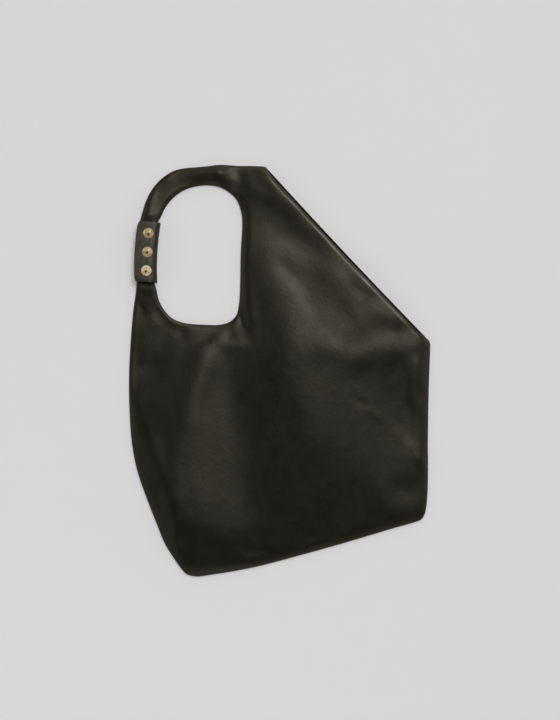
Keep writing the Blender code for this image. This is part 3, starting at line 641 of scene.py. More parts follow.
# Each fold: its half width in mm, its heights at its two ends in mm, and its places in
# picture points
FOLDS = {
    "belly dome": (40, 5.5, 5.0, ((290, 340), (320, 370), (315, 410), (310, 465))),
    "corner ridge": (30, 5.0, -1.0, ((325, 350), (365, 315), (415, 345))),
    "front valley": (35, -6.5, -3.5, ((225, 360), (225, 400), (245, 445), (240, 485), (265, 535))),
    "foot hollow": (20, -1.0, -2.0, ((285, 525), (320, 520), (370, 490))),
    "lower left dome": (35, 0.0, 9.5, ((200, 390), (180, 440), (180, 480), (210, 550))),
    "upper hollow": (35, -1.5, -6.5, ((270, 200), (290, 225), (305, 250), (310, 270))),
    "left hollow": (30, -2.5, -7.0, ((130, 285), (170, 340), (140, 385))),
    "right hollow": (25, -3.0, -1.5, ((390, 385), (390, 430), (395, 480))),
    "mouth ridge": (15, 6.0, -1.0, ((360, 275), (375, 290), (400, 320))),
    "shoulder crest": (25, -1.0, 2.5, ((255, 200), (275, 265), (280, 305), (300, 340))),
    "column edge": (16, 4.0, 0.5, ((210, 350), (195, 395), (190, 430), (170, 465))),
    "column middle": (14, 1.0, 0.5, ((220, 365), (215, 405), (205, 450), (215, 505))),
    "dome left edge": (20, 2.0, 0.5, ((290, 335), (280, 380), (305, 410), (315, 450))),
    "waist crest": (14, 1.0, 2.0, ((320, 345), (355, 360), (375, 345), (430, 340))),
    "waist valley": (15, -1.0, 2.0, ((300, 365), (325, 375), (365, 360), (410, 355))),
    "bright slope": (10, -1.5, 0.0, ((280, 262), (298, 284), (314, 312), (340, 340))),
    "bright slope foot": (14, -1.5, 0.0, ((300, 268), (322, 302), (340, 316))),
    "upper dark line": (10, 1.5, 1.0, ((254, 188), (276, 202), (308, 226))),
    "upper light line": (12, 4.5, 1.5, ((260, 166), (282, 194), (306, 210))),
    "upper light": (14, -0.5, -1.0, ((265, 220), (280, 235), (325, 255))),
    "mouth light one": (10, 0.0, 2.0, ((326, 270), (356, 294), (364, 306))),
    "mouth light two": (12, 3.0, -3.0, ((370, 308), (400, 324), (412, 342))),
    "mouth dark": (11, 1.5, 0.0, ((344, 294), (360, 318), (370, 330))),
    "hole side": (8, 1.0, 1.0, ((246, 204), (248, 242), (242, 270), (252, 322))),
    "right edge crest": (13, 0.0, -3.0, ((394, 360), (406, 382), (406, 442))),
    "right edge valley": (9, 2.5, 1.0, ((418, 358), (412, 396), (424, 412))),
    "right wrinkle one": (6, 1.0, 0.0, ((396, 430), (402, 442), (426, 452))),
    "right wrinkle two": (8, -0.5, 2.0, ((394, 454), (416, 454), (426, 466))),
    "right wrinkle three": (16, 2.5, -4.0, ((375, 490), (390, 490), (415, 490))),
    "plateau streak": (5, -0.8, 0.8, ((352, 396), (366, 408), (380, 420))),
    "foot ridge": (12, -1.0, -0.5, ((205, 560), (250, 540), (315, 535), (370, 515))),
    "foot speck one": (7, 1.0, -1.5, ((234, 550), (242, 550), (268, 550))),
    "foot speck two": (5, 1.0, 0.0, ((308, 546), (324, 542), (334, 540))),
    "left crease": (10, 2.5, 4.0, ((158, 468), (170, 496), (174, 516), (180, 542))),
    "left crease flank": (10, 1.0, 2.0, ((172, 464), (180, 500), (190, 530))),
    "left side": (12, 0.0, 3.5, ((135, 400), (150, 440), (160, 470))),
    "left patch": (8, -1.5, 0.5, ((142, 370), (158, 362), (164, 376))),
    "hole corner crease": (4.5, -1.0, 0.5, ((232, 334), (224, 340), (212, 356))),
    "hole corner hook": (6, -4.0, 0.5, ((238, 310), (244, 326), (248, 340))),
    "hole corner hollow": (7, 0.0, 1.0, ((218, 352), (226, 346), (244, 346))),
    "hole corner outside": (8, 1.5, 1.0, ((226, 336), (206, 346), (186, 350))),
    "hole foot left": (5, -1.0, 0.5, ((158, 306), (168, 318), (180, 328))),
    "pucker one": (6, -1.0, 1.0, ((142, 304), (148, 326), (168, 320))),
    "pucker two": (6, -1.5, 1.0, ((184, 326), (180, 340), (182, 350))),
    "under hole": (11, 1.0, -3.0, ((152, 336), (182, 350), (214, 338))),
    "shoulder patch one": (7, 4.0, 2.0, ((208, 168), (222, 168), (220, 178))),
    "shoulder patch two": (8, -1.0, -2.0, ((228, 182), (238, 166), (242, 190))),
    "shoulder dark": (8, 4.5, -3.5, ((208, 180), (220, 190), (238, 188))),
    "strap patch": (12, -1.0, -3.0, ((160, 220), (156, 190), (196, 182))),
    "strap streak": (6, 2.0, 1.5, ((152, 190), (147, 204), (144, 218))),
    "strap top": (8, -4.0, 5.0, ((172, 178), (190, 164), (210, 168))),
    "strap inner turn": (5, 1.0, 0.0, ((160, 218), (166, 200), (182, 184))),
}


def stroke(points, places, width, start, end):
    """Smooth ridge along places, with heights at its two ends."""
    total = np.zeros(len(points))
    places = [np.array(from_picture(*place)) for place in places]
    for k, (one, two) in enumerate(zip(places, places[1:])):
        length = np.linalg.norm(two - one)
        ahead = (two - one) / length
        reach = points - one
        along = reach @ ahead
        beside = reach[:, 1] * ahead[0] - reach[:, 0] * ahead[1]
        begun = np.tanh(FOLD_END * along / width)
        ended = np.tanh(FOLD_END * (along - length) / width)
        on = (begun - ended) / 2
        share = (k + 0.5) / (len(places) - 1)
        total += (start + (end - start) * share) * on * np.exp(-((beside / width) ** 2))
    return total


def fold_height(points):
    """Sum of the folds' heights."""
    return sum(
        stroke(points, places, width * MM, start * MM, end * MM)
        for width, start, end, places in FOLDS.values()
    )


print("folds:", len(FOLDS), "and together at the belly in mm:", (fold_height(BELLY) / MM).round(1))

# %% [markdown]
# The front's two faces are heights over a place: the seam, its roll, the swell, and the folds
# where they are clear of the seams. Over the strap tape the leather is held up, so that a dent
# never shows the tape, and at the mouth the lip is rolled down and rounded. A thickness laid on
# afterwards would swell the outline, so the flesh side has a height of its own.

# %% Heights of the front leather
LEATHER = 1.3 * MM
PANEL_SEAM_FRONT, ROLL_RADIUS = 1.58 * MM, 1.3 * MM
SEAM_SWELL, SEAM_SWELL_REACH = 2.4 * MM, 5.0 * MM
BODY_SWELL, BODY_SWELL_REACH = 11.0 * MM, 45.0 * MM
STRAP_FULLNESS = 2.3 * MM
FOLD_CLEARANCE = 6.0 * MM
LIP_SAG_SHARE, LIP_SAG_REACH = 0.2, 22.0 * MM
LIP_ROLL, LIP_ROLL_REACH = 1.2 * MM, 4.6 * MM
LIP_ROUND = 0.75 * MM
TAPE_ROOM, TAPE_ROOM_MARGIN, TAPE_ROOM_EASE = 1.15 * MM, 3.5 * MM, 0.3 * MM
# The leather is pared down over this reach at its sewn edges
SEAM_SKIVE = 1.2 * MM


def over_tape(points, swell, sewn):
    """Swell of the front, held up softly where the strap tape lies under it."""
    beyond = distances(points, TAPE_LINE) - TAPE_HALF
    share = (1 - smooth_step(beyond / TAPE_ROOM_MARGIN)) * (1 - np.exp(-sewn / ROLL_RADIUS))
    spare = swell - TAPE_ROOM
    return swell + share * (np.sqrt(spare**2 + TAPE_ROOM_EASE**2) - spare) / 2


def front_outer(points):
    """Height of the front's outer face."""
    sewn, soft = sewn_distances(points, FRONT_SEWN)
    lip = distances(points, FRONT_RUNS["mouth"])
    swell = SEAM_SWELL * (1 - np.exp(-sewn / SEAM_SWELL_REACH))
    swell += BODY_SWELL * (1 - np.exp(-soft / BODY_SWELL_REACH))
    swell *= 1 - LIP_SAG_SHARE * np.exp(-lip / LIP_SAG_REACH)
    squeezed = np.minimum(swell, STRAP_FULLNESS)
    swell += (squeezed - swell) * past_cuff(points, CUFF_SQUEEZE_REACH)
    swell += fold_height(points) * (1 - np.exp(-((sewn / FOLD_CLEARANCE) ** 2)))
    swell = over_tape(points, swell, sewn)
    settle = 1 - np.exp(-sewn / FOLD_CLEARANCE)
    hem = LIP_ROLL * np.maximum(1 - lip / LIP_ROLL_REACH, 0.0) ** 2
    hem += LIP_ROUND * (1 - roll(lip, LIP_ROUND))
    height = PANEL_SEAM_FRONT + ROLL_RADIUS * roll(sewn, ROLL_RADIUS) + swell - hem * settle
    return height + CUFF_LIFT * past_cuff(points, CUFF_LIFT_REACH)


def front_inner(points):
    """Height of the front's flesh side."""
    sewn, _ = sewn_distances(points, FRONT_SEWN)
    lip = distances(points, FRONT_RUNS["mouth"])
    ramp = np.minimum(sewn / SEAM_SKIVE, 1.0)
    rounding = LIP_ROUND * (1 - roll(lip, LIP_ROUND)) * (1 - np.exp(-sewn / FOLD_CLEARANCE))
    return front_outer(points) - (LEATHER - 2 * rounding) * ramp


print("front over the belly in mm:", (front_outer(BELLY) / MM).round(1))

# %% [markdown]
# The back lies flat on the table and turns up at its seams. Its flesh side is level, except where
# the cuff's under side lifts the strap. Folds in it would lift the bag off the table.

# %% Heights of the back leather
PANEL_SEAM_BACK = 1.45 * MM


def back_outer(points):
    """Height of the back's outer face, which lies on the table."""
    sewn, _ = sewn_distances(points, BACK_SEWN)
    lip = distances(points, BACK_RUNS["mouth"])
    edge = np.minimum(sewn, lip * 2)
    rise = PANEL_SEAM_BACK * (1 - roll(edge, ROLL_RADIUS))
    return rise + CUFF_LIFT * past_cuff(points, CUFF_LIFT_REACH)


def back_inner(points):
    """Height of the back's flesh side."""
    return PANEL_SEAM_BACK + CUFF_LIFT * past_cuff(points, CUFF_LIFT_REACH)


print("back under the belly in mm:", (back_outer(BELLY) / MM).round(1),
      (back_inner(BELLY) / MM).round(1))

# %% [markdown]
# A shell needs its points first. Rings of points follow the outline closely, where the leather
# rolls over, and a loose lattice fills the rest. One fine lattice all over would need many more
# faces for the same edge.

# %% Points of a panel
LATTICE_STEP = 2.9 * MM
EDGE_RINGS = np.array((0.1, 0.3, 0.6, 1.0, 1.5, 2.2, 3.0, 4.0, 5.2, 6.8)) * MM
# Share of a ring's depth that its points keep from every edge, and the lattice's clearance
# from the innermost ring, in steps
RING_KEEP, LATTICE_CLEARANCE = 0.97, 0.5


def loop_from(pieces):
    """One closed loop from its runs."""
    return np.concatenate([run[:-1] for run in pieces])


def inside(points, loop):
    """Which points lie inside a closed loop."""
    start, end = loop, np.roll(loop, -1, axis=0)
    found = []
    for block in np.array_split(points, max(1, len(points) // BLOCK_POINTS)):
        above = (start[:, 1] > block[:, None, 1]) != (end[:, 1] > block[:, None, 1])
        rise = np.where(end[:, 1] == start[:, 1], 1.0, end[:, 1] - start[:, 1])
        cross = start[:, 0] + (block[:, None, 1] - start[:, 1]) * (end[:, 0] - start[:, 0]) / rise
        found.append((above & (block[:, None, 0] < cross)).sum(axis=1) % 2 == 1)
    return np.concatenate(found)


def fill_points(loop):
    """Rings of points along a loop and a lattice between them."""
    closed = np.vstack((loop, loop[:1]))
    along = np.roll(loop, -1, axis=0) - np.roll(loop, 1, axis=0)
    along /= np.linalg.norm(along, axis=1)[:, None]
    inward = np.column_stack((-along[:, 1], along[:, 0]))
    found = []
    for ring in EDGE_RINGS:
        points = loop + inward * ring
        found.append(points[distances(points, closed) > ring * RING_KEEP])
    low, high = loop.min(axis=0), loop.max(axis=0)
    columns = np.arange(low[0], high[0], LATTICE_STEP)
    rows = np.arange(low[1], high[1], LATTICE_STEP * math.sqrt(3) / 2)
    lattice = np.array([
        (x + (k % 2) * LATTICE_STEP / 2, y) for k, y in enumerate(rows) for x in columns
    ])
    lattice = lattice[inside(lattice, loop)]
    clearance = EDGE_RINGS[-1] + LATTICE_STEP * LATTICE_CLEARANCE
    lattice = lattice[distances(lattice, closed) > clearance]
    return np.vstack((*found, lattice))


print("corners in the front's loop:", len(loop_from(FRONT_PIECES)))

# %% [markdown]
# Each panel becomes a closed shell: grain side, flesh side, and a rounded edge where both meet. A
# Delaunay fill joins its points, and marks on them tell the finish how deep inside the rim they
# lie and where a highlight is painted pale along the lip. A grid with subdivision surfaces would
# smooth the outline away.

# %% Panels of the body and strap
# How strongly a highlight is painted pale along the lip, by picture row
LIP_HIGHLIGHT_ROWS = (268, 282, 291, 301, 310, 319, 328)
LIP_HIGHLIGHT_SHARES = (0.0, 0.55, 0.65, 0.5, 0.65, 0.65, 0.0)
LIP_HIGHLIGHT_DEPTH, LIP_HIGHLIGHT_REACH = 2.9 * MM, 1.3 * MM
LIP_EDGE_LIGHT, LIP_EDGE_LIGHT_REACH = 0.12, 1.6 * MM
FILL_TOLERANCE = 1e-7


def painted_light_share(places, to_lip):
    """Painted light on each place: a highlight along the lip's crest, and a little at its very
    edge.
    """
    row = PICTURE_CENTRE[1] - places[:, 1] / POINT
    painted_lightness = np.exp(-(((to_lip - LIP_HIGHLIGHT_DEPTH) / LIP_HIGHLIGHT_REACH) ** 2)) * np.interp(row, LIP_HIGHLIGHT_ROWS, LIP_HIGHLIGHT_SHARES)
    return painted_lightness + LIP_EDGE_LIGHT * np.exp(-((to_lip / LIP_EDGE_LIGHT_REACH) ** 2))


def shell(name, pieces, lip, outer, inner, grain_up):
    """Closed leather shell over a loop, with its two faces joined along the edge."""
    loop = loop_from(pieces)
    points = np.vstack((loop, fill_points(loop)))
    boundary = list(range(len(loop)))
    flat = geometry.delaunay_2d_cdt(
        [Vector(p) for p in points], [], [boundary], 1, FILL_TOLERANCE,
    )
    places = np.array([tuple(v) for v in flat[0]])
    on_edge = np.array([any(k < len(loop) for k in origin) for origin in flat[3]])
    top = np.column_stack((places, outer(places)))
    low = np.column_stack((places, inner(places)))
    below = np.arange(len(places))
    below[~on_edge] = len(places) + np.arange((~on_edge).sum())
    faces = [tuple(face) for face in flat[2]]
    faces += [tuple(int(below[k]) for k in reversed(face)) for face in flat[2]]
    mesh = mesh_from(name, np.vstack((top, low[~on_edge])), faces)
    to_lip = distances(places, lip)
    to_edge = np.minimum.reduce([distances(places, run) for run in pieces])
    # The last mark is painted light: a pale highlight along the lip's crest, and a little at its
    # edge
    marks = {
        "edge_depth": to_edge, "lip_depth": to_lip, "painted_light": painted_light_share(places, to_lip),
    }
    for label, values in marks.items():
        layer = mesh.attributes.new(label, "FLOAT", "POINT")
        layer.data.foreach_set("value", np.concatenate((values, values[~on_edge])).astype("f"))
    flesh = np.arange(len(mesh.polygons)) >= len(flat[2])
    mesh.polygons.foreach_set("material_index", (flesh if grain_up else ~flesh).astype("i"))
    print(name, "corners:", len(mesh.vertices), "height in mm:", round(top[:, 2].max() / MM, 1))
    return add_object(name, mesh)


front_leather = shell(
    "front_leather", FRONT_PIECES, FRONT_RUNS["mouth"], front_outer, front_inner, True,
)
back_leather = shell(
    "back_leather", BACK_PIECES, BACK_RUNS["mouth"], back_inner, back_outer, False,
)
for piece, cad in ((front_leather, "front_panel"), (back_leather, "back_panel")):
    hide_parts(cad)
    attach(piece, "bag")

# %% [markdown]
# The facings, the strap's tape and the cuff are bent slabs: a grid of centre points, given a
# thickness that runs out to nothing at the rounded borders. A plain box with a bevel couldn't
# follow the lip or the strap's curve.

# %% Bent slabs
# Shares of a rounded border's width at which its rows of points lie
BORDER_SHARES = np.array((0.0, 0.04, 0.15, 0.35, 0.65, 1.0))
MERGE_DISTANCE = 0.002 * MM
# Depth that counts as far from the lip
OFF_LIP = 1.0


def stations(length, step, rounding, ends=(True, True)):
    """Places along a length, a step apart, and dense towards the ends that are rounded."""
    dense = rounding * BORDER_SHARES
    inner = np.linspace(dense[-1], length - dense[-1], max(2, round(length / step)))
    first = dense[:-1] if ends[0] else [0.0]
    last = length - dense[-2::-1] if ends[1] else [length]
    return np.concatenate((first, inner, last))


def slab(name, centres, thickness, depth, painted_lightness=None):
    """Closed slab about a grid of centre points, thinned to nothing where its depth is 0."""
    normals = np.cross(np.gradient(centres, axis=0), np.gradient(centres, axis=1))
    spans = np.linalg.norm(normals, axis=2)[:, :, None]
    # A row that runs together in one point has no normal, and needs none
    normals /= np.where(spans > 0.0, spans, 1.0)
    half = (roll(depth, thickness / 2) * thickness / 2)[:, :, None]
    rows, columns = depth.shape
    count = rows * columns
    index = np.arange(count).reshape(rows, columns)
    above, below = centres + normals * half, centres - normals * half
    corners = np.vstack((above.reshape(-1, 3), below.reshape(-1, 3)))
    faces = []
    for a in index[:-1, :-1].ravel():
        b, c, d = a + columns, a + columns + 1, a + 1
        faces.append((a, b, c, d))
        faces.append((d + count, c + count, b + count, a + count))
    rim = [*index[0, :-1], *index[:-1, -1], *index[-1, :0:-1], *index[:0:-1, 0]]
    for a, b in zip(rim, rim[1:] + rim[:1]):
        faces.append((a, b, b + count, a + count))
    made = bmesh.new()
    edge_layer = made.verts.layers.float.new("edge_depth")
    lip_layer = made.verts.layers.float.new("lip_depth")
    # The third layer carries painted light: how pale each point is painted as a highlight
    lightness_layer = made.verts.layers.float.new("painted_light")
    lightness_values = np.zeros(count) if painted_lightness is None else painted_lightness.ravel()
    points = [made.verts.new(corner) for corner in corners]
    for k, point in enumerate(points):
        point[edge_layer] = depth.ravel()[k % count]
        point[lip_layer] = OFF_LIP
        point[lightness_layer] = lightness_values[k % count]
    for face in faces:
        made.faces.new([points[k] for k in face])
    bmesh.ops.remove_doubles(made, verts=made.verts, dist=MERGE_DISTANCE)
    bmesh.ops.recalc_face_normals(made, faces=made.faces)
    mesh = bpy.data.meshes.new(name)
    made.to_mesh(mesh)
    made.free()
    mesh.shade_smooth()
    print(name, "corners:", len(mesh.vertices))
    return add_object(name, mesh)


print("stations on 10 mm:", len(stations(10.0 * MM, 3.0 * MM, 0.5 * MM)))

# %% [markdown]
# A facing is a strip of the same leather, flesh side out, glued behind each lip so that the
# mouth doesn't stretch. It keeps a fixed distance behind the lip and takes its height from the
# leather that it lies on. A cut-out of the panel's own mesh would bring the panel's dense rings
# along.

# %% Facings of the mouth
FACING_WIDTH, FACING_THICKNESS, FACING_STEP = 22.0 * MM, 1.0 * MM, 3.0 * MM
FACING_INSET, FACING_EDGE_INSET = 14.0 * MM, 0.6 * MM
CONTACT = 0.08 * MM


def strip_plan(run, widths, along):
    """Grid of places on a strip beside a run: lengths along it, widths to its left."""
    line = resample(run, along)
    turn = np.gradient(line, axis=0)
    turn /= np.linalg.norm(turn, axis=1)[:, None]
    side = np.column_stack((-turn[:, 1], turn[:, 0]))
    return line[:, None] + side[:, None] * np.asarray(widths)[None, :, None]


def border_depth(rows, columns):
    """Depth of each grid place inside the strip's border."""
    down = np.minimum(rows - rows[0], rows[-1] - rows)
    over = np.minimum(columns - columns[0], columns[-1] - columns)
    return np.minimum(down[:, None], over[None, :])


def facing(name, run, height):
    """Facing behind a lip, at a height that depends on place."""
    length = run_length(run) - 2 * FACING_INSET
    along = stations(length, FACING_STEP, FACING_THICKNESS / 2) + FACING_INSET
    widths = stations(FACING_WIDTH, FACING_STEP, FACING_THICKNESS / 2) + FACING_EDGE_INSET
    plan = strip_plan(run, widths, along)
    flat = plan.reshape(-1, 2)
    level = height(flat).reshape(plan.shape[:2])
    centres = np.concatenate((plan, level[:, :, None]), axis=2)
    return slab(name, centres, FACING_THICKNESS, border_depth(along, widths))


back_facing = facing(
    "back_lip_facing", BACK_RUNS["mouth"],
    lambda places: back_inner(places) + CONTACT + FACING_THICKNESS / 2,
)
front_facing = facing(
    "front_lip_facing", FRONT_RUNS["mouth"],
    lambda places: front_inner(places) - CONTACT - FACING_THICKNESS / 2,
)

# %% [markdown]
# A flat woven tape runs inside the strap and takes the load. It lies low, on the back's flesh
# side. In the middle of the strap's hollow it would press against the front leather, where the
# photo shows none of it.

# %% Strap tape
TAPE_THICKNESS, TAPE_GAP = 1.0 * MM, 0.1 * MM
# Step and rounded border across the tape, in shares of its width
TAPE_STEP_SHARE, TAPE_BORDER_SHARE = 0.12, 0.06


def strap_tape():
    """Tape along the middle of the strap, from the outline of its CAD node."""
    one, two = TAPE_SIDES
    shares = stations(1.0, TAPE_STEP_SHARE, TAPE_BORDER_SHARE)
    plan = one[:, None] + (two - one)[:, None] * shares[None, :, None]
    width = np.linalg.norm(two - one, axis=1)[:, None]
    along = np.linspace(0, run_length(one), TAPE_STATIONS)
    depth = np.minimum(
        np.minimum(shares, 1 - shares)[None, :] * width,
        np.minimum(along, along[-1] - along)[:, None],
    )
    flat = plan.reshape(-1, 2)
    level = (back_inner(flat) + TAPE_GAP + TAPE_THICKNESS / 2).reshape(plan.shape[:2])
    centres = np.concatenate((plan, level[:, :, None]), axis=2)
    return slab("strap_tape", centres, TAPE_THICKNESS, depth)


tape = strap_tape()
for piece, cad, finish_slot in (
    (back_facing, "back_mouth_facing", "flesh_side"),
    (front_facing, "front_mouth_facing", "flesh_side"),
    (tape, "strap_core", "webbing"),
):
    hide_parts(cad)
    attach(piece, "bag")

# %% [markdown]
# The cuff's leather is drawn out along the strap from a bent path. It curves a little with the
# strap, and the free corners of its top leaf are pulled in, as worn corners are. Extra points
# towards the free ends leave room for their rounding. A solid with bevelled edges would keep its
# straight sides.

# %% Bent leather of the cuff
CUFF_LEATHER, CUFF_STEP = 1.2 * MM, 2.6 * MM
BEND_STEPS, LENGTH_DIGITS = 8, 8
CUFF_BOW, CUFF_BOW_LEVEL = 1.9 * MM, 0.32
CORNER_PULL, CORNER_REACH = 1.5 * MM, 6.0 * MM
FLAP_FLAT_END, FLAP_END = -4.85 * MM, -13.25 * MM


def bent_path(corners, radius, step):
    """Path through corners in a plane, with each inner corner bent round a radius."""
    corners = [np.array(corner, float) for corner in corners]
    path = [corners[0]]
    for before, corner, after in zip(corners, corners[1:], corners[2:]):
        entry = (before - corner) / np.linalg.norm(before - corner)
        leave = (after - corner) / np.linalg.norm(after - corner)
        centre = corner + (entry + leave) * radius
        start, end = corner + entry * radius, corner + leave * radius
        count = max(1, round(np.linalg.norm(start - path[-1]) / step))
        path += [path[-1] + (start - path[-1]) * t for t in np.arange(1, count + 1) / count]
        inwards, onwards = start - centre, end - centre
        for turn in np.linspace(0, math.pi / 2, BEND_STEPS + 1)[1:]:
            path.append(centre + inwards * math.cos(turn) + onwards * math.sin(turn))
    count = max(1, round(np.linalg.norm(corners[-1] - path[-1]) / step))
    last = path[-1]
    path += [last + (corners[-1] - last) * t for t in np.arange(1, count + 1) / count]
    return np.array(path)


def dense_ends(path, rounding, ends):
    """Path with extra points towards its rounded ends."""
    length = run_length(path)
    lengths = np.concatenate(([0.0], np.cumsum(np.linalg.norm(np.diff(path, axis=0), axis=1))))
    extra = rounding * BORDER_SHARES[1:]
    found = list(lengths)
    if ends[0]:
        found += list(extra)
    if ends[1]:
        found += list(length - extra)
    found = np.unique(np.round(found, LENGTH_DIGITS))
    return resample(path, found), found


def cuff_bow(out):
    """Sideways shift of the cuff, which curves with the strap, at a place along it."""
    return CUFF_BOW * ((2 * out / CUFF_LENGTH) ** 2 - CUFF_BOW_LEVEL)


def cuff_leather(name, path, ends, relief):
    """Leather of the cuff from its path across and up, drawn out along the cuff."""
    path, lengths = dense_ends(path, CUFF_LEATHER / 2, ends)
    along = stations(CUFF_LENGTH, CUFF_STEP, CUFF_LEATHER / 2)
    out = along - CUFF_LENGTH / 2
    across = path[:, 0][:, None] + 0 * out
    up, painted_lightness = relief(across, path[:, 1][:, None] + 0 * out, out[None, :] + 0 * across)
    over = np.clip((FLAP_FLAT_END - across) / (FLAP_FLAT_END - FLAP_END), 0.0, None)
    near_end = np.clip(1 - (CUFF_LENGTH / 2 - np.abs(out)) / CORNER_REACH, 0.0, 1.0)
    bowed = across + cuff_bow(out) + CORNER_PULL * over**2 * near_end**2
    x = CUFF_CENTRE[0] + bowed * math.cos(CUFF_TILT) + out * math.sin(CUFF_TILT)
    y = CUFF_CENTRE[1] - bowed * math.sin(CUFF_TILT) + out * math.cos(CUFF_TILT)
    depth = np.minimum(out - out[0], out[-1] - out)[None, :] + 0 * across
    if ends[0]:
        depth = np.minimum(depth, lengths[:, None])
    if ends[1]:
        depth = np.minimum(depth, (lengths[-1] - lengths)[:, None])
    return slab(name, np.stack((x, y, up), axis=2), CUFF_LEATHER, depth, painted_lightness)


print("bow of the cuff at its middle and its end in mm:", round(cuff_bow(0.0) / MM, 2),
      round(cuff_bow(CUFF_LENGTH / 2) / MM, 2))

# %% [markdown]
# The caps pull the top leaf down a little round their rims, and a highlight is painted pale along
# its fold, with a little painted light over its face. The band under it is plain. A bump map of
# the same dips would keep a flat outline in a low view.

# %% Relief of the top leaf
FOLD_TOP = 13.55 * MM
# The relief comes in over this much height below the leaf's flat top
TOP_BELOW, TOP_RISE = 1.2 * MM, 1.0 * MM
STUD_ACROSS, STUD_PITCH = 1.4 * MM, 22.2 * MM
CAP_DIP, CAP_DIP_REACH, CAP_DIP_POWER = 0.35 * MM, 8.6 * MM, 4
CROWN_REACH, CROWN_EASE = 9.5 * MM, 6.0 * MM
# Painted light on the top leaf: a pale highlight along its fold, and a little over its face
FOLD_HIGHLIGHT_ACROSS_TOP, FOLD_HIGHLIGHT_ACROSS_FOOT, FOLD_HIGHLIGHT_WIDTH = 7.0 * MM, 5.6 * MM, 1.2 * MM
FOLD_HIGHLIGHT, FACE_LIGHT = 0.27, 0.18
# Share of the face's painted light that is left at the foot end, and the share of the length it
# fades over
FOOT_LIGHT_SHARE, FOOT_LIGHT_REACH = 0.45, 0.15


def plain_relief(across, up, out):
    """Leather without dips or painted light."""
    return up, 0 * up


def leaf_relief(across, up, out):
    """Top leaf, pulled down a little round its caps, with a highlight painted along its fold."""
    dips = 0 * up
    for k in (-1, 0, 1):
        away = np.hypot(across + cuff_bow(out) - STUD_ACROSS, out - k * STUD_PITCH)
        dips += CAP_DIP * np.exp(-((away / CAP_DIP_REACH) ** CAP_DIP_POWER))
    on_top = smooth_step((up - (FOLD_TOP - TOP_BELOW)) / TOP_RISE)
    share = out / CUFF_LENGTH + 0.5
    line = FOLD_HIGHLIGHT_ACROSS_FOOT + (FOLD_HIGHLIGHT_ACROSS_TOP - FOLD_HIGHLIGHT_ACROSS_FOOT) * share
    ridge = FOLD_HIGHLIGHT * np.exp(-(((across - line) / FOLD_HIGHLIGHT_WIDTH) ** 2))
    face = FACE_LIGHT * smooth_step((line - across) / (2 * FOLD_HIGHLIGHT_WIDTH) + 0.5)
    paler_share = FOOT_LIGHT_SHARE + (1 - FOOT_LIGHT_SHARE) * smooth_step(share / FOOT_LIGHT_REACH)
    painted_lightness = (ridge + face * paler_share) * on_top
    crown = CAP_DIP * smooth_step((CROWN_REACH - np.abs(across - STUD_ACROSS)) / CROWN_EASE)
    return up + (crown - dips) * on_top, painted_lightness


middle_cap = [np.array([value]) for value in (STUD_ACROSS, FOLD_TOP, 0.0)]
dip = leaf_relief(*middle_cap)[0] - FOLD_TOP
print("change of the top leaf under its middle cap in mm:", (dip / MM).round(2))

# %% [markdown]
# The cuff is one leather strip wrapped round the strap: down its right side, under the strap, up
# its left side and back over the top as an under leaf, which carries the studs. The top leaf
# comes over from the right fold and carries the caps. Band and top leaf meet in the fold's side.
# The band is hung on the bag, and the top leaf on no body. One strip with weights of two bodies
# would be the same shape, but here band and top leaf are two pieces, and both CAD nodes are hidden.

# %% Cuff
FOLD_SIDE, FOLD_RADIUS, LEAF_STEP = 12.65 * MM, 4.0 * MM, 1.6 * MM
LEAF_JOINT = 8.0 * MM
BAND_LEFT, BAND_LOW, BAND_UNDER = -11.7 * MM, 0.6 * MM, 8.5 * MM
BAND_RADIUS, BAND_STEP = 2.0 * MM, 2.4 * MM
UNDER_END = 8.65 * MM
FLAP_DROOP = 0.5 * MM

band_path = bent_path(
    ((FOLD_SIDE, LEAF_JOINT), (FOLD_SIDE, BAND_LOW), (BAND_LEFT, BAND_LOW),
     (BAND_LEFT, BAND_UNDER), (UNDER_END, BAND_UNDER)), BAND_RADIUS, BAND_STEP,
)
leaf_path = bent_path(
    ((FOLD_SIDE, LEAF_JOINT), (FOLD_SIDE, FOLD_TOP), (FLAP_END, FOLD_TOP)), FOLD_RADIUS, LEAF_STEP,
)
drop = np.clip((FLAP_FLAT_END - leaf_path[:, 0]) / (FLAP_FLAT_END - FLAP_END), 0.0, 1.0)
leaf_path[:, 1] -= FLAP_DROOP * drop**2

cuff_band = cuff_leather("cuff_band", band_path, (False, True), plain_relief)
cuff_leaf = cuff_leather("cuff_top_leaf", leaf_path, (False, True), leaf_relief)


def cuff_place(across, along, up):
    """Place in the frame of a place in the cuff."""
    return (
        CUFF_CENTRE[0] + across * math.cos(CUFF_TILT) + along * math.sin(CUFF_TILT),
        CUFF_CENTRE[1] - across * math.sin(CUFF_TILT) + along * math.cos(CUFF_TILT),
        up,
    )


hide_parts("cuff_wrap")
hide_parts("cuff_flap")
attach(cuff_band, "bag")
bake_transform(cuff_leaf)
print("length of the cuff's band and top leaf in mm:", round(run_length(band_path) / MM, 1),
      round(run_length(leaf_path) / MM, 1))

# %% [markdown]
# A press stud has five parts: cap with shank, socket, split ring spring, stud and post. All but
# the spring are profiles turned about an axis. The axis comes from the CAD node of each part, so
# every part stays in line. Scaled cylinders would have no lips and no rolled rims.

# %% Turned pieces
TURN_SIDES = 64


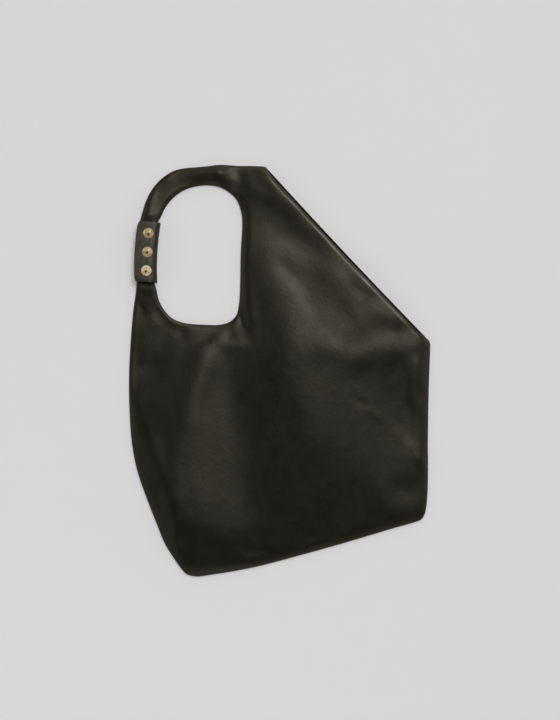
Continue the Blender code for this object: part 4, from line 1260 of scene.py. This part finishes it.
def turned(name, cad, profile, closed, lean=(0.0, 0.0)):
    """Piece turned about the upright axis of a CAD node, from radius and height in mm."""
    low, high = (np.array(corner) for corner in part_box(cad))
    axis_x, axis_y = (low[:2] + high[:2]) / 2
    profile = np.array(profile, float) * MM
    corners, rings = [], []
    for radius, height in profile:
        if radius == 0.0:
            rings.append([len(corners)])
            corners.append((axis_x, axis_y, low[2] + height))
            continue
        rings.append(range(len(corners), len(corners) + TURN_SIDES))
        for turn in np.arange(TURN_SIDES) * math.tau / TURN_SIDES:
            corners.append((
                axis_x + radius * math.cos(turn), axis_y + radius * math.sin(turn), low[2] + height,
            ))
    faces = []
    pairs = list(zip(rings, rings[1:]))
    if closed:
        pairs.append((rings[-1], rings[0]))
    for one, two in pairs:
        for k in range(TURN_SIDES):
            after = (k + 1) % TURN_SIDES
            near_side = [one[k % len(one)], one[after % len(one)]]
            far_side = [two[after % len(two)], two[k % len(two)]]
            faces.append(tuple(dict.fromkeys(near_side + far_side)))
    foot = Vector((axis_x, axis_y, low[2]))
    bearing, angle = (math.radians(value) for value in lean)
    axis = Vector((-math.sin(bearing), math.cos(bearing), 0.0))
    swing = Matrix.Rotation(angle, 4, axis)
    corners = [foot + swing @ (Vector(corner) - foot) for corner in corners]
    return add_object(name, mesh_from(name, corners, faces))


def arc(centre_radius, centre_height, radius, start, end, count):
    """Profile points of an arc, with angles in degrees from the outward direction."""
    return [
        (centre_radius + radius * math.cos(t), centre_height + radius * math.sin(t))
        for t in np.radians(np.linspace(start, end, count))
    ]


print("corners in a whole turn:", TURN_SIDES)

# %% [markdown]
# A profile is a row of places, each a radius and a height in millimetres, from the part's foot
# up its outer side. Small radii stand where the press tool rounds the sheet brass, and the cap's
# dome is a slice of a large ball. A half ball would look like a rivet.

# %% Profiles of the press studs
DOME_RADIUS, DOME_RIM, DOME_TOP = 12.2, 5.85, 4.75
# Degrees between the rolled rim and the dome's first point, and the dome's last point
DOME_START, DOME_LAST, DOME_STEPS = 1.5, 89.0, 12
dome_edge = math.degrees(math.acos(DOME_RIM / DOME_RADIUS))
CAP_PROFILE = (
    [(0, 0), (1.6, 0)] + arc(1.75, 0.15, 0.15, -90, 90, 5) + [(1.3, 0.5), (1.3, 2.5), (5.9, 2.5)]
    + arc(5.95, 2.8, 0.3, -90, 0, 5) + arc(DOME_RIM, 3.0, 0.4, 0, dome_edge, 5)
    + arc(0, DOME_TOP - DOME_RADIUS, DOME_RADIUS, dome_edge + DOME_START, DOME_LAST, DOME_STEPS)
    + [(0, DOME_TOP)]
)
SOCKET_PROFILE = (
    [(2.95, 0.3)] + arc(3.2, 0.25, 0.25, 180, 270, 4) + [(4.9, 0.0)]
    + arc(4.9, 0.3, 0.3, -90, 0, 5) + [(5.2, 1.4)] + arc(4.9, 2.45, 0.3, 0, 90, 5)
    + [(1.5, 2.75), (1.5, 2.35), (2.9, 2.35), (2.95, 1.45), (3.35, 1.4), (3.35, 0.95), (2.95, 0.9)]
)
STUD_PROFILE = (
    [(1.2, 0.0), (4.8, 0.0)] + arc(4.8, 0.15, 0.15, -60, 60, 4) + [(4.5, 0.42), (2.6, 0.5)]
    + [(1.9, 0.58), (1.72, 0.75), (1.8, 0.9)] + arc(1.62, 1.2, 0.38, -40, 80, 7) + [(1.2, 1.7)]
)
POST_PROFILE = (
    [(0, 0), (4.3, 0.0)] + arc(4.3, 0.2, 0.2, -60, 90, 6) + [(1.4, 0.42), (1.0, 0.7), (1.0, 4.0)]
    + [(1.35, 4.02)] + arc(1.35, 4.15, 0.13, -60, 90, 5) + [(0.6, 4.3), (0, 4.3)]
)
print("points in the profiles:", [
    len(profile) for profile in (CAP_PROFILE, SOCKET_PROFILE, STUD_PROFILE, POST_PROFILE)
])

# %% [markdown]
# The spring is a ring of wire with a gap, so it is swept round most of a circle and closed with
# two flat ends. It lies round its socket's axis, because its own box is off centre by the gap.

# %% Ring springs
SPRING_RADIUS, WIRE_RADIUS = 2.9 * MM, 0.28 * MM
SPRING_START, SPRING_END = 20, 340
SPRING_STEPS, WIRE_SIDES = 48, 12


def ring_spring(name, cad, socket):
    """Split ring of wire in a socket's groove."""
    low, high = (np.array(corner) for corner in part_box(cad))
    around, beside = (np.array(corner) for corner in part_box(socket))
    axis_x, axis_y = (around[:2] + beside[:2]) / 2
    level = (low[2] + high[2]) / 2
    corners = []
    for t in np.radians(np.linspace(SPRING_START, SPRING_END, SPRING_STEPS)):
        for a in np.arange(WIRE_SIDES) * math.tau / WIRE_SIDES:
            out = SPRING_RADIUS + WIRE_RADIUS * math.cos(a)
            corners.append((
                axis_x + out * math.cos(t), axis_y + out * math.sin(t),
                level + WIRE_RADIUS * math.sin(a),
            ))
    faces = []
    for k in range(SPRING_STEPS - 1):
        for m in range(WIRE_SIDES):
            a, b = k * WIRE_SIDES + m, k * WIRE_SIDES + (m + 1) % WIRE_SIDES
            faces.append((a, a + WIRE_SIDES, b + WIRE_SIDES, b))
    faces.append(tuple(range(WIRE_SIDES)))
    faces.append(tuple(range(len(corners) - 1, len(corners) - WIRE_SIDES - 1, -1)))
    return add_object(name, mesh_from(name, corners, faces))


print("gap of a ring spring in degrees:", 360 - (SPRING_END - SPRING_START))

# %% [markdown]
# Three studs stand in a row along the cuff. Caps, sockets and springs go with the cuff_top body,
# and studs and posts stay with the bag. A hand press never sets two caps quite alike, so each one
# leans a little its own way. Perfectly level caps would all show the same reflection.

# %% Press studs
# Bearing and angle, in degrees, at which each cap was pressed a little askew
CAP_LEANS = {1: (40, 2.0), 2: (-80, 2.0), 3: (150, 2.0)}
LEVEL = (0.0, 0.0)
caps, sockets, springs, studs, posts = [], [], [], [], []
for number in (1, 2, 3):
    for found, kind, profile, closed, body in (
        (caps, "cap", CAP_PROFILE, False, "cuff_top"),
        (sockets, "socket", SOCKET_PROFILE, True, "cuff_top"),
        (studs, "stud", STUD_PROFILE, True, "bag"),
        (posts, "post", POST_PROFILE, False, "bag"),
    ):
        cad = f"snap_{kind}_{number}"
        lean = CAP_LEANS[number] if kind == "cap" else LEVEL
        piece = turned(f"press_{kind}_{number}", cad, profile, closed, lean)
        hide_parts(cad)
        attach(piece, body)
        found.append(piece)
    cad = f"snap_spring_{number}"
    piece = ring_spring(f"press_spring_{number}", cad, f"snap_socket_{number}")
    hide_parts(cad)
    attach(piece, "cuff_top")
    springs.append(piece)
print("press studs:", len(caps), "with", len(caps[0].data.vertices), "corners in a cap")

# %% [markdown]
# Smooth nappa is leather dyed through and finished with a thin satin film. The film gives soft,
# slightly warm reflections, the grain is barely there, shallow dents break the reflections up,
# and the tone drifts with handling. Towards the body's edges the leather is lighter and browner.
# A highlight is painted pale along the lip's crest and the cuff's fold, in flecks, a little painted
# light lies over the cuff's face and at the lip's very edge, and the lip is polished by hands. A
# separate coat on the shader would look lacquered, so the film is in the roughness and the bumps.

# %% Leather finishes
# The pale tone is real wear at the rims and painted light along the lip and the cuff's fold
PALE_WEAR_AND_LIGHT_TONE, RIM_SHARE = (0.32, 0.294, 0.23, 1.0), 0.02
# The second value is the reach over which the leather turns lighter and browner towards its edges
RIM_REACH, EDGE_TONE_REACH = 0.9 * MM, 11.0 * MM
# Flecks make the painted light this much weaker or stronger
FLECK_LEAST, FLECK_MOST = 0.6, 1.4
LIP_ROUGHNESS_DROP = 0.14
LIP_POLISH_FULL, LIP_POLISH_END = 2.8 * MM, 6.5 * MM
DENT_DEPTH, GRAIN_DEPTH = 0.26 * MM, 0.03 * MM
WARM_FILM = (1.0, 0.93, 0.74, 1.0)


def chained_bumps(tree, heights):
    """Normal socket of bumps laid over each other, from (height, distance) pairs."""
    normal = None
    for height, distance in heights:
        inputs = {"Strength": 1.0, "Distance": distance, "Height": height}
        if normal is not None:
            inputs["Normal"] = normal
        normal = node(tree, "Bump", inputs).outputs["Normal"]
    return normal


def nappa(name, dark, light, edge_tone, satin_range):
    """Satin, fine-grained side: two dye tones, the tone along its edges, roughness range."""
    finish, tree, shader, where = new_finish(name)
    grain = place_group(tree, FINE_GRAIN, {"Vector": where, "Cells per metre": 1100.0})
    dents = place_group(tree, SOFT_DENTS, {"Vector": where, "Dents per metre": 95.0})
    cloud = place_group(tree, TONE_DRIFT, {
        "Vector": where, "Clouds per metre": 60.0, "Contrast": 2.4,
    })
    edge = node(tree, "Attribute", attribute_name="edge_depth").outputs["Fac"]
    lip = node(tree, "Attribute", attribute_name="lip_depth").outputs["Fac"]
    wear = place_group(tree, RIM_WEAR, {"Depth": edge, "Vector": where, "Reach": RIM_REACH})
    fade = node(tree, "MapRange", {
        "Value": edge, "From Min": 0.0, "From Max": EDGE_TONE_REACH, "To Min": 1.0, "To Max": 0.0,
    }, interpolation_type="SMOOTHSTEP").outputs["Result"]
    dye = node(tree, "Mix", {
        0: fade, 6: mix_colours(tree, cloud.outputs["Mask"], dark, light), 7: (*edge_tone, 1.0),
    }, data_type="RGBA").outputs[2]
    painted_lightness = node(tree, "Attribute", attribute_name="painted_light").outputs["Fac"]
    flecks = place_group(tree, TONE_DRIFT, {
        "Vector": where, "Clouds per metre": 450.0, "Contrast": 2.5,
    })
    broken = node(tree, "Math", {
        0: painted_lightness, 1: mix_values(tree, flecks.outputs["Mask"], FLECK_LEAST, FLECK_MOST),
    }, operation="MULTIPLY").outputs[0]
    # Rim wear and painted light together, as the share of the pale tone
    paler_share = node(tree, "Math", {
        0: wear.outputs["Mask"], 1: RIM_SHARE, 2: broken,
    }, operation="MULTIPLY_ADD", use_clamp=True)
    wear_and_light_colour = node(tree, "Mix", {
        0: paler_share.outputs[0], 6: dye, 7: PALE_WEAR_AND_LIGHT_TONE,
    }, data_type="RGBA").outputs[2]
    tree.links.new(wear_and_light_colour, shader.inputs["Base Color"])
    polish = node(tree, "MapRange", {
        "Value": lip, "From Min": LIP_POLISH_FULL, "From Max": LIP_POLISH_END,
        "To Min": LIP_ROUGHNESS_DROP, "To Max": 0.0,
    }, interpolation_type="SMOOTHSTEP").outputs["Result"]
    satin = mix_values(tree, cloud.outputs["Mask"], *satin_range)
    rough = node(tree, "Math", {0: satin, 1: polish}, operation="SUBTRACT")
    tree.links.new(rough.outputs[0], shader.inputs["Roughness"])
    tree.links.new(chained_bumps(tree, (
        (dents.outputs["Height"], DENT_DEPTH), (grain.outputs["Height"], GRAIN_DEPTH),
    )), shader.inputs["Normal"])
    shader.inputs["Specular Tint"].default_value = WARM_FILM
    return finish


NAPPA = nappa(
    "dark_nappa_leather", dark=(0.0058, 0.0056, 0.0030), light=(0.0092, 0.0087, 0.0052),
    edge_tone=(0.0200, 0.0165, 0.0085), satin_range=(0.39, 0.47),
)
# The cuff's copy of the leather is painted lighter than the body's, as painted light on its face
CUFF_NAPPA_PAINTED_LIGHTER = nappa(
    "cuff_nappa_painted_lighter", dark=(0.0115, 0.0112, 0.0085), light=(0.0155, 0.0150, 0.0120),
    edge_tone=(0.0135, 0.0131, 0.0103), satin_range=(0.34, 0.40),
)
print("nodes in a leather finish:", len(NAPPA.node_tree.nodes))

# %% [markdown]
# The flesh side of leather has no film. It is matt, a shade browner than the outer side, and
# short fibres stand up all over it, so it shows a faint sheen at a glancing angle. It shows in
# the mouth and on the facings. The outer side's finish, only darker, would still shine like film.

# %% Flesh side finish
FLESH_DARK, FLESH_LIGHT = (0.010, 0.0085, 0.0055), (0.020, 0.0165, 0.011)
FLESH_ROUGHNESS = (0.80, 0.98)
FIBRE_DEPTH = 0.2 * MM


def flesh_side():
    """Matt, fibrous inner side."""
    finish, tree, shader, where = new_finish("leather_flesh_side")
    fibres = place_group(tree, SOFT_DENTS, {
        "Vector": where, "Dents per metre": 1500.0, "Wander": 1.5,
    })
    cloud = place_group(tree, TONE_DRIFT, {
        "Vector": where, "Clouds per metre": 120.0, "Contrast": 2.0,
    })
    tree.links.new(
        mix_colours(tree, cloud.outputs["Mask"], FLESH_DARK, FLESH_LIGHT),
        shader.inputs["Base Color"],
    )
    tree.links.new(
        mix_values(tree, fibres.outputs["Height"], *FLESH_ROUGHNESS), shader.inputs["Roughness"],
    )
    tree.links.new(
        chained_bumps(tree, ((fibres.outputs["Height"], FIBRE_DEPTH),)), shader.inputs["Normal"],
    )
    shader.inputs["Specular IOR Level"].default_value = 0.25
    shader.inputs["Sheen Weight"].default_value = 0.05
    shader.inputs["Sheen Roughness"].default_value = 0.5
    return finish


FLESH = flesh_side()
for piece in (front_leather, back_leather):
    piece.data.materials.append(NAPPA)
    piece.data.materials.append(FLESH)
for piece in (cuff_band, cuff_leaf):
    piece.data.materials.append(CUFF_NAPPA_PAINTED_LIGHTER)
for piece in (front_facing, back_facing):
    piece.data.materials.append(FLESH)
print("pieces that show a flesh side:", FLESH.users)

# %% [markdown]
# The tape is a plain weave of black polyester: warp ribs run along it and weft picks cross them.
# Two wave textures at right angles, the finer one across, give the raised crossings. Modelled
# threads would be thousands of pieces that nobody sees inside the strap.

# %% Webbing finish
TAPE_DARK, TAPE_LIGHT = (0.006, 0.006, 0.006), (0.020, 0.020, 0.021)
TAPE_ROUGHNESS = (0.85, 0.6)
RIB_SCALE, PICK_SCALE = 220.0, 300.0
WEAVE_DEPTH = 0.25 * MM


def webbing():
    """Black woven tape."""
    finish, tree, shader, where = new_finish("black_woven_tape")
    ribs = node(tree, "TexWave", {"Vector": where, "Scale": RIB_SCALE}, bands_direction="X")
    picks = node(tree, "TexWave", {
        "Vector": where, "Scale": PICK_SCALE, "Distortion": 0.6, "Detail": 1.0,
    }, bands_direction="Y")
    weave = node(tree, "Math", {
        0: ribs.outputs["Fac"], 1: picks.outputs["Fac"],
    }, operation="MULTIPLY").outputs[0]
    tree.links.new(
        mix_colours(tree, weave, TAPE_DARK, TAPE_LIGHT), shader.inputs["Base Color"],
    )
    tree.links.new(mix_values(tree, weave, *TAPE_ROUGHNESS), shader.inputs["Roughness"])
    tree.links.new(chained_bumps(tree, ((weave, WEAVE_DEPTH),)), shader.inputs["Normal"])
    return finish


tape.data.materials.append(webbing())
print("finish of the tape:", tape.data.materials[0].name)

# %% [markdown]
# The press studs are pale brass with a soft shine. Fine dents blur the reflections a little, and
# slow clouds take the tone from browner and duller to paler and brighter, as if hands had worn
# it. The lowest cap has a copy of the finish that is smoother and painted paler, as painted
# light. One even metal would look like new plating.

# %% Metal finishes
BRASS_DENT_DEPTH = 0.02 * MM
STEEL_DARK, STEEL_LIGHT = (0.46, 0.46, 0.47), (0.56, 0.56, 0.56)
STEEL_ROUGHNESS = 0.3


def brass(name, browner, paler, rough):
    """Pale, satin brass, clouded from a browner tone to a paler one."""
    finish, tree, shader, where = new_finish(name)
    cloud = place_group(tree, TONE_DRIFT, {
        "Vector": where, "Clouds per metre": 240.0, "Contrast": 3.2,
    })
    tree.links.new(
        mix_colours(tree, cloud.outputs["Mask"], browner, paler),
        shader.inputs["Base Color"],
    )
    tree.links.new(
        mix_values(tree, cloud.outputs["Mask"], *rough), shader.inputs["Roughness"],
    )
    dents = place_group(tree, SOFT_DENTS, {"Vector": where, "Dents per metre": 500.0})
    tree.links.new(
        chained_bumps(tree, ((dents.outputs["Height"], BRASS_DENT_DEPTH),)),
        shader.inputs["Normal"],
    )
    shader.inputs["Metallic"].default_value = 1.0
    return finish


def steel():
    """Bright spring wire."""
    finish, tree, shader, where = new_finish("spring_wire")
    cloud = place_group(tree, TONE_DRIFT, {
        "Vector": where, "Clouds per metre": 400.0, "Contrast": 1.5,
    })
    tree.links.new(
        mix_colours(tree, cloud.outputs["Mask"], STEEL_DARK, STEEL_LIGHT),
        shader.inputs["Base Color"],
    )
    shader.inputs["Metallic"].default_value = 1.0
    shader.inputs["Roughness"].default_value = STEEL_ROUGHNESS
    return finish


BRASS = brass(
    "pale_brass_sheet", browner=(0.37, 0.25, 0.115), paler=(0.64, 0.50, 0.31), rough=(0.17, 0.09),
)
# Painted light: the same brass, smoother and with paler colours, for the lowest cap
POLISHED_BRASS_PAINTED_LIGHTER = brass(
    "polished_brass_painted_lighter", browner=(0.54, 0.40, 0.22), paler=(0.88, 0.76, 0.55),
    rough=(0.12, 0.05),
)
STEEL = steel()
for piece in (*caps[1:], *sockets, *studs, *posts):
    piece.data.materials.append(BRASS)
caps[0].data.materials.append(POLISHED_BRASS_PAINTED_LIGHTER)
for piece in springs:
    piece.data.materials.append(STEEL)
print("finishes:", [finish.name for finish in bpy.data.materials])

# %% [markdown]
# A polished dome mirrors the whole studio above it. Four wide, white reflectors below the camera
# keep it pale, and the gap between them shows in each cap as a small dark spot. The reflectors
# are linked to the studs alone, because the leather mirrors its own, darker studio, and the key
# is unlinked from the studs in favour of a weaker one, or it would burn a white disc.

# %% Reflectors for the studs
REFLECTOR_HEIGHT, REFLECTOR_REACH = 0.9, 1.5
GAP_CENTRE, GAP_HALF = (-0.119, -0.119), 0.20
STUD_KEY_SIZE, STUD_KEY_POWER = 0.9, 2.6
STUDS_PLACE = cuff_place(STUD_ACROSS, 0, 0)


def linked(name, pieces, state):
    """Collection that lamps use to pick or skip pieces."""
    found = bpy.data.collections.new(name)
    for piece in pieces:
        found.objects.link(piece)
    for entry in found.collection_objects:
        entry.light_linking.link_state = state
    return found


def reflector(name, low, high, radiance):
    """Level reflector above the studs, from its low to its high corner."""
    data = bpy.data.lights.new(name, "AREA")
    data.shape = "RECTANGLE"
    data.size, data.size_y = high[0] - low[0], high[1] - low[1]
    data.energy = radiance * math.pi * data.size * data.size_y
    thing = bpy.data.objects.new(name, data)
    thing.location = (
        STUDS_PLACE[0] + (low[0] + high[0]) / 2, STUDS_PLACE[1] + (low[1] + high[1]) / 2,
        REFLECTOR_HEIGHT,
    )
    thing.visible_camera = False
    thing.light_linking.receiver_collection = METAL_ONLY
    bpy.context.scene.collection.objects.link(thing)
    return thing


metal = (*caps, *sockets, *studs, *posts, *springs)
METAL_ONLY = linked("lit_by_reflectors", metal, "INCLUDE")
bpy.data.objects["key_softbox"].light_linking.receiver_collection = linked(
    "not_lit_by_key", metal, "EXCLUDE",
)
gap_west, gap_south = (c - GAP_HALF for c in GAP_CENTRE)
gap_east, gap_north = (c + GAP_HALF for c in GAP_CENTRE)
far = REFLECTOR_REACH
# Low corner, high corner and radiance of each reflector round the gap
REFLECTORS = {
    "reflector_north": ((-far, gap_north), (far, far), 0.64),
    "reflector_south": ((-far, -far), (far, gap_south), 0.55),
    "reflector_west": ((-far, gap_south), (gap_west, gap_north), 0.42),
    "reflector_east": ((gap_east, gap_south), (far, gap_north), 0.66),
}
for reflector_name, (low_corner, high_corner, radiance) in REFLECTORS.items():
    reflector(reflector_name, low_corner, high_corner, radiance)
stud_key = lamp("stud_key", KEY_BEARING, KEY_OFF_VERTICAL, STUD_KEY_SIZE, STUD_KEY_POWER)
stud_key.light_linking.receiver_collection = METAL_ONLY

# %% [markdown]
# The card of floor and backdrop is matt and pale. The key stands to one side, so a small lift,
# seen by camera rays only, grows away from it and makes the card even. More light would do so as
# well, but it would wash the leather out.

# %% Card finish
CARD_DARK, CARD_LIGHT = (0.847, 0.847, 0.847), (0.853, 0.853, 0.853)
CARD_ROUGHNESS = 0.95
BACKDROP_LIFT, LIFT_LEAST, LIFT_MOST = 0.213, 0.12, 0.30
# Change of the lift per metre to the right and upwards
LIFT_SLOPE_X, LIFT_SLOPE_Y = -0.055, -0.105


def pale_card():
    """Matt pale card, whose tone drifts by a trace."""
    finish, tree, shader, where = new_finish("pale_card")
    cloud = place_group(tree, TONE_DRIFT, {
        "Vector": where, "Clouds per metre": 350.0, "Contrast": 1.0,
    })
    tree.links.new(
        mix_colours(tree, cloud.outputs["Mask"], CARD_DARK, CARD_LIGHT),
        shader.inputs["Base Color"],
    )
    shader.inputs["Roughness"].default_value = CARD_ROUGHNESS
    shader.inputs["Specular IOR Level"].default_value = 0.0
    parts = node(tree, "SeparateXYZ", {"Vector": where})
    over = node(tree, "Math", {
        0: parts.outputs["X"], 1: LIFT_SLOPE_X, 2: BACKDROP_LIFT,
    }, operation="MULTIPLY_ADD")
    even = node(tree, "Math", {
        0: parts.outputs["Y"], 1: LIFT_SLOPE_Y, 2: over.outputs[0],
    }, operation="MULTIPLY_ADD")
    held = node(tree, "Clamp", {
        "Value": even.outputs[0], "Min": LIFT_LEAST, "Max": LIFT_MOST,
    })
    seen = tree.nodes.new("ShaderNodeLightPath").outputs["Is Camera Ray"]
    lift = node(tree, "Math", {0: seen, 1: held.outputs[0]}, operation="MULTIPLY")
    shader.inputs["Emission Color"].default_value = (1.0, 1.0, 1.0, 1.0)
    tree.links.new(lift.outputs[0], shader.inputs["Emission Strength"])
    return finish


backdrop.data.materials.append(pale_card())
print("finish of the backdrop:", backdrop.data.materials[0].name)
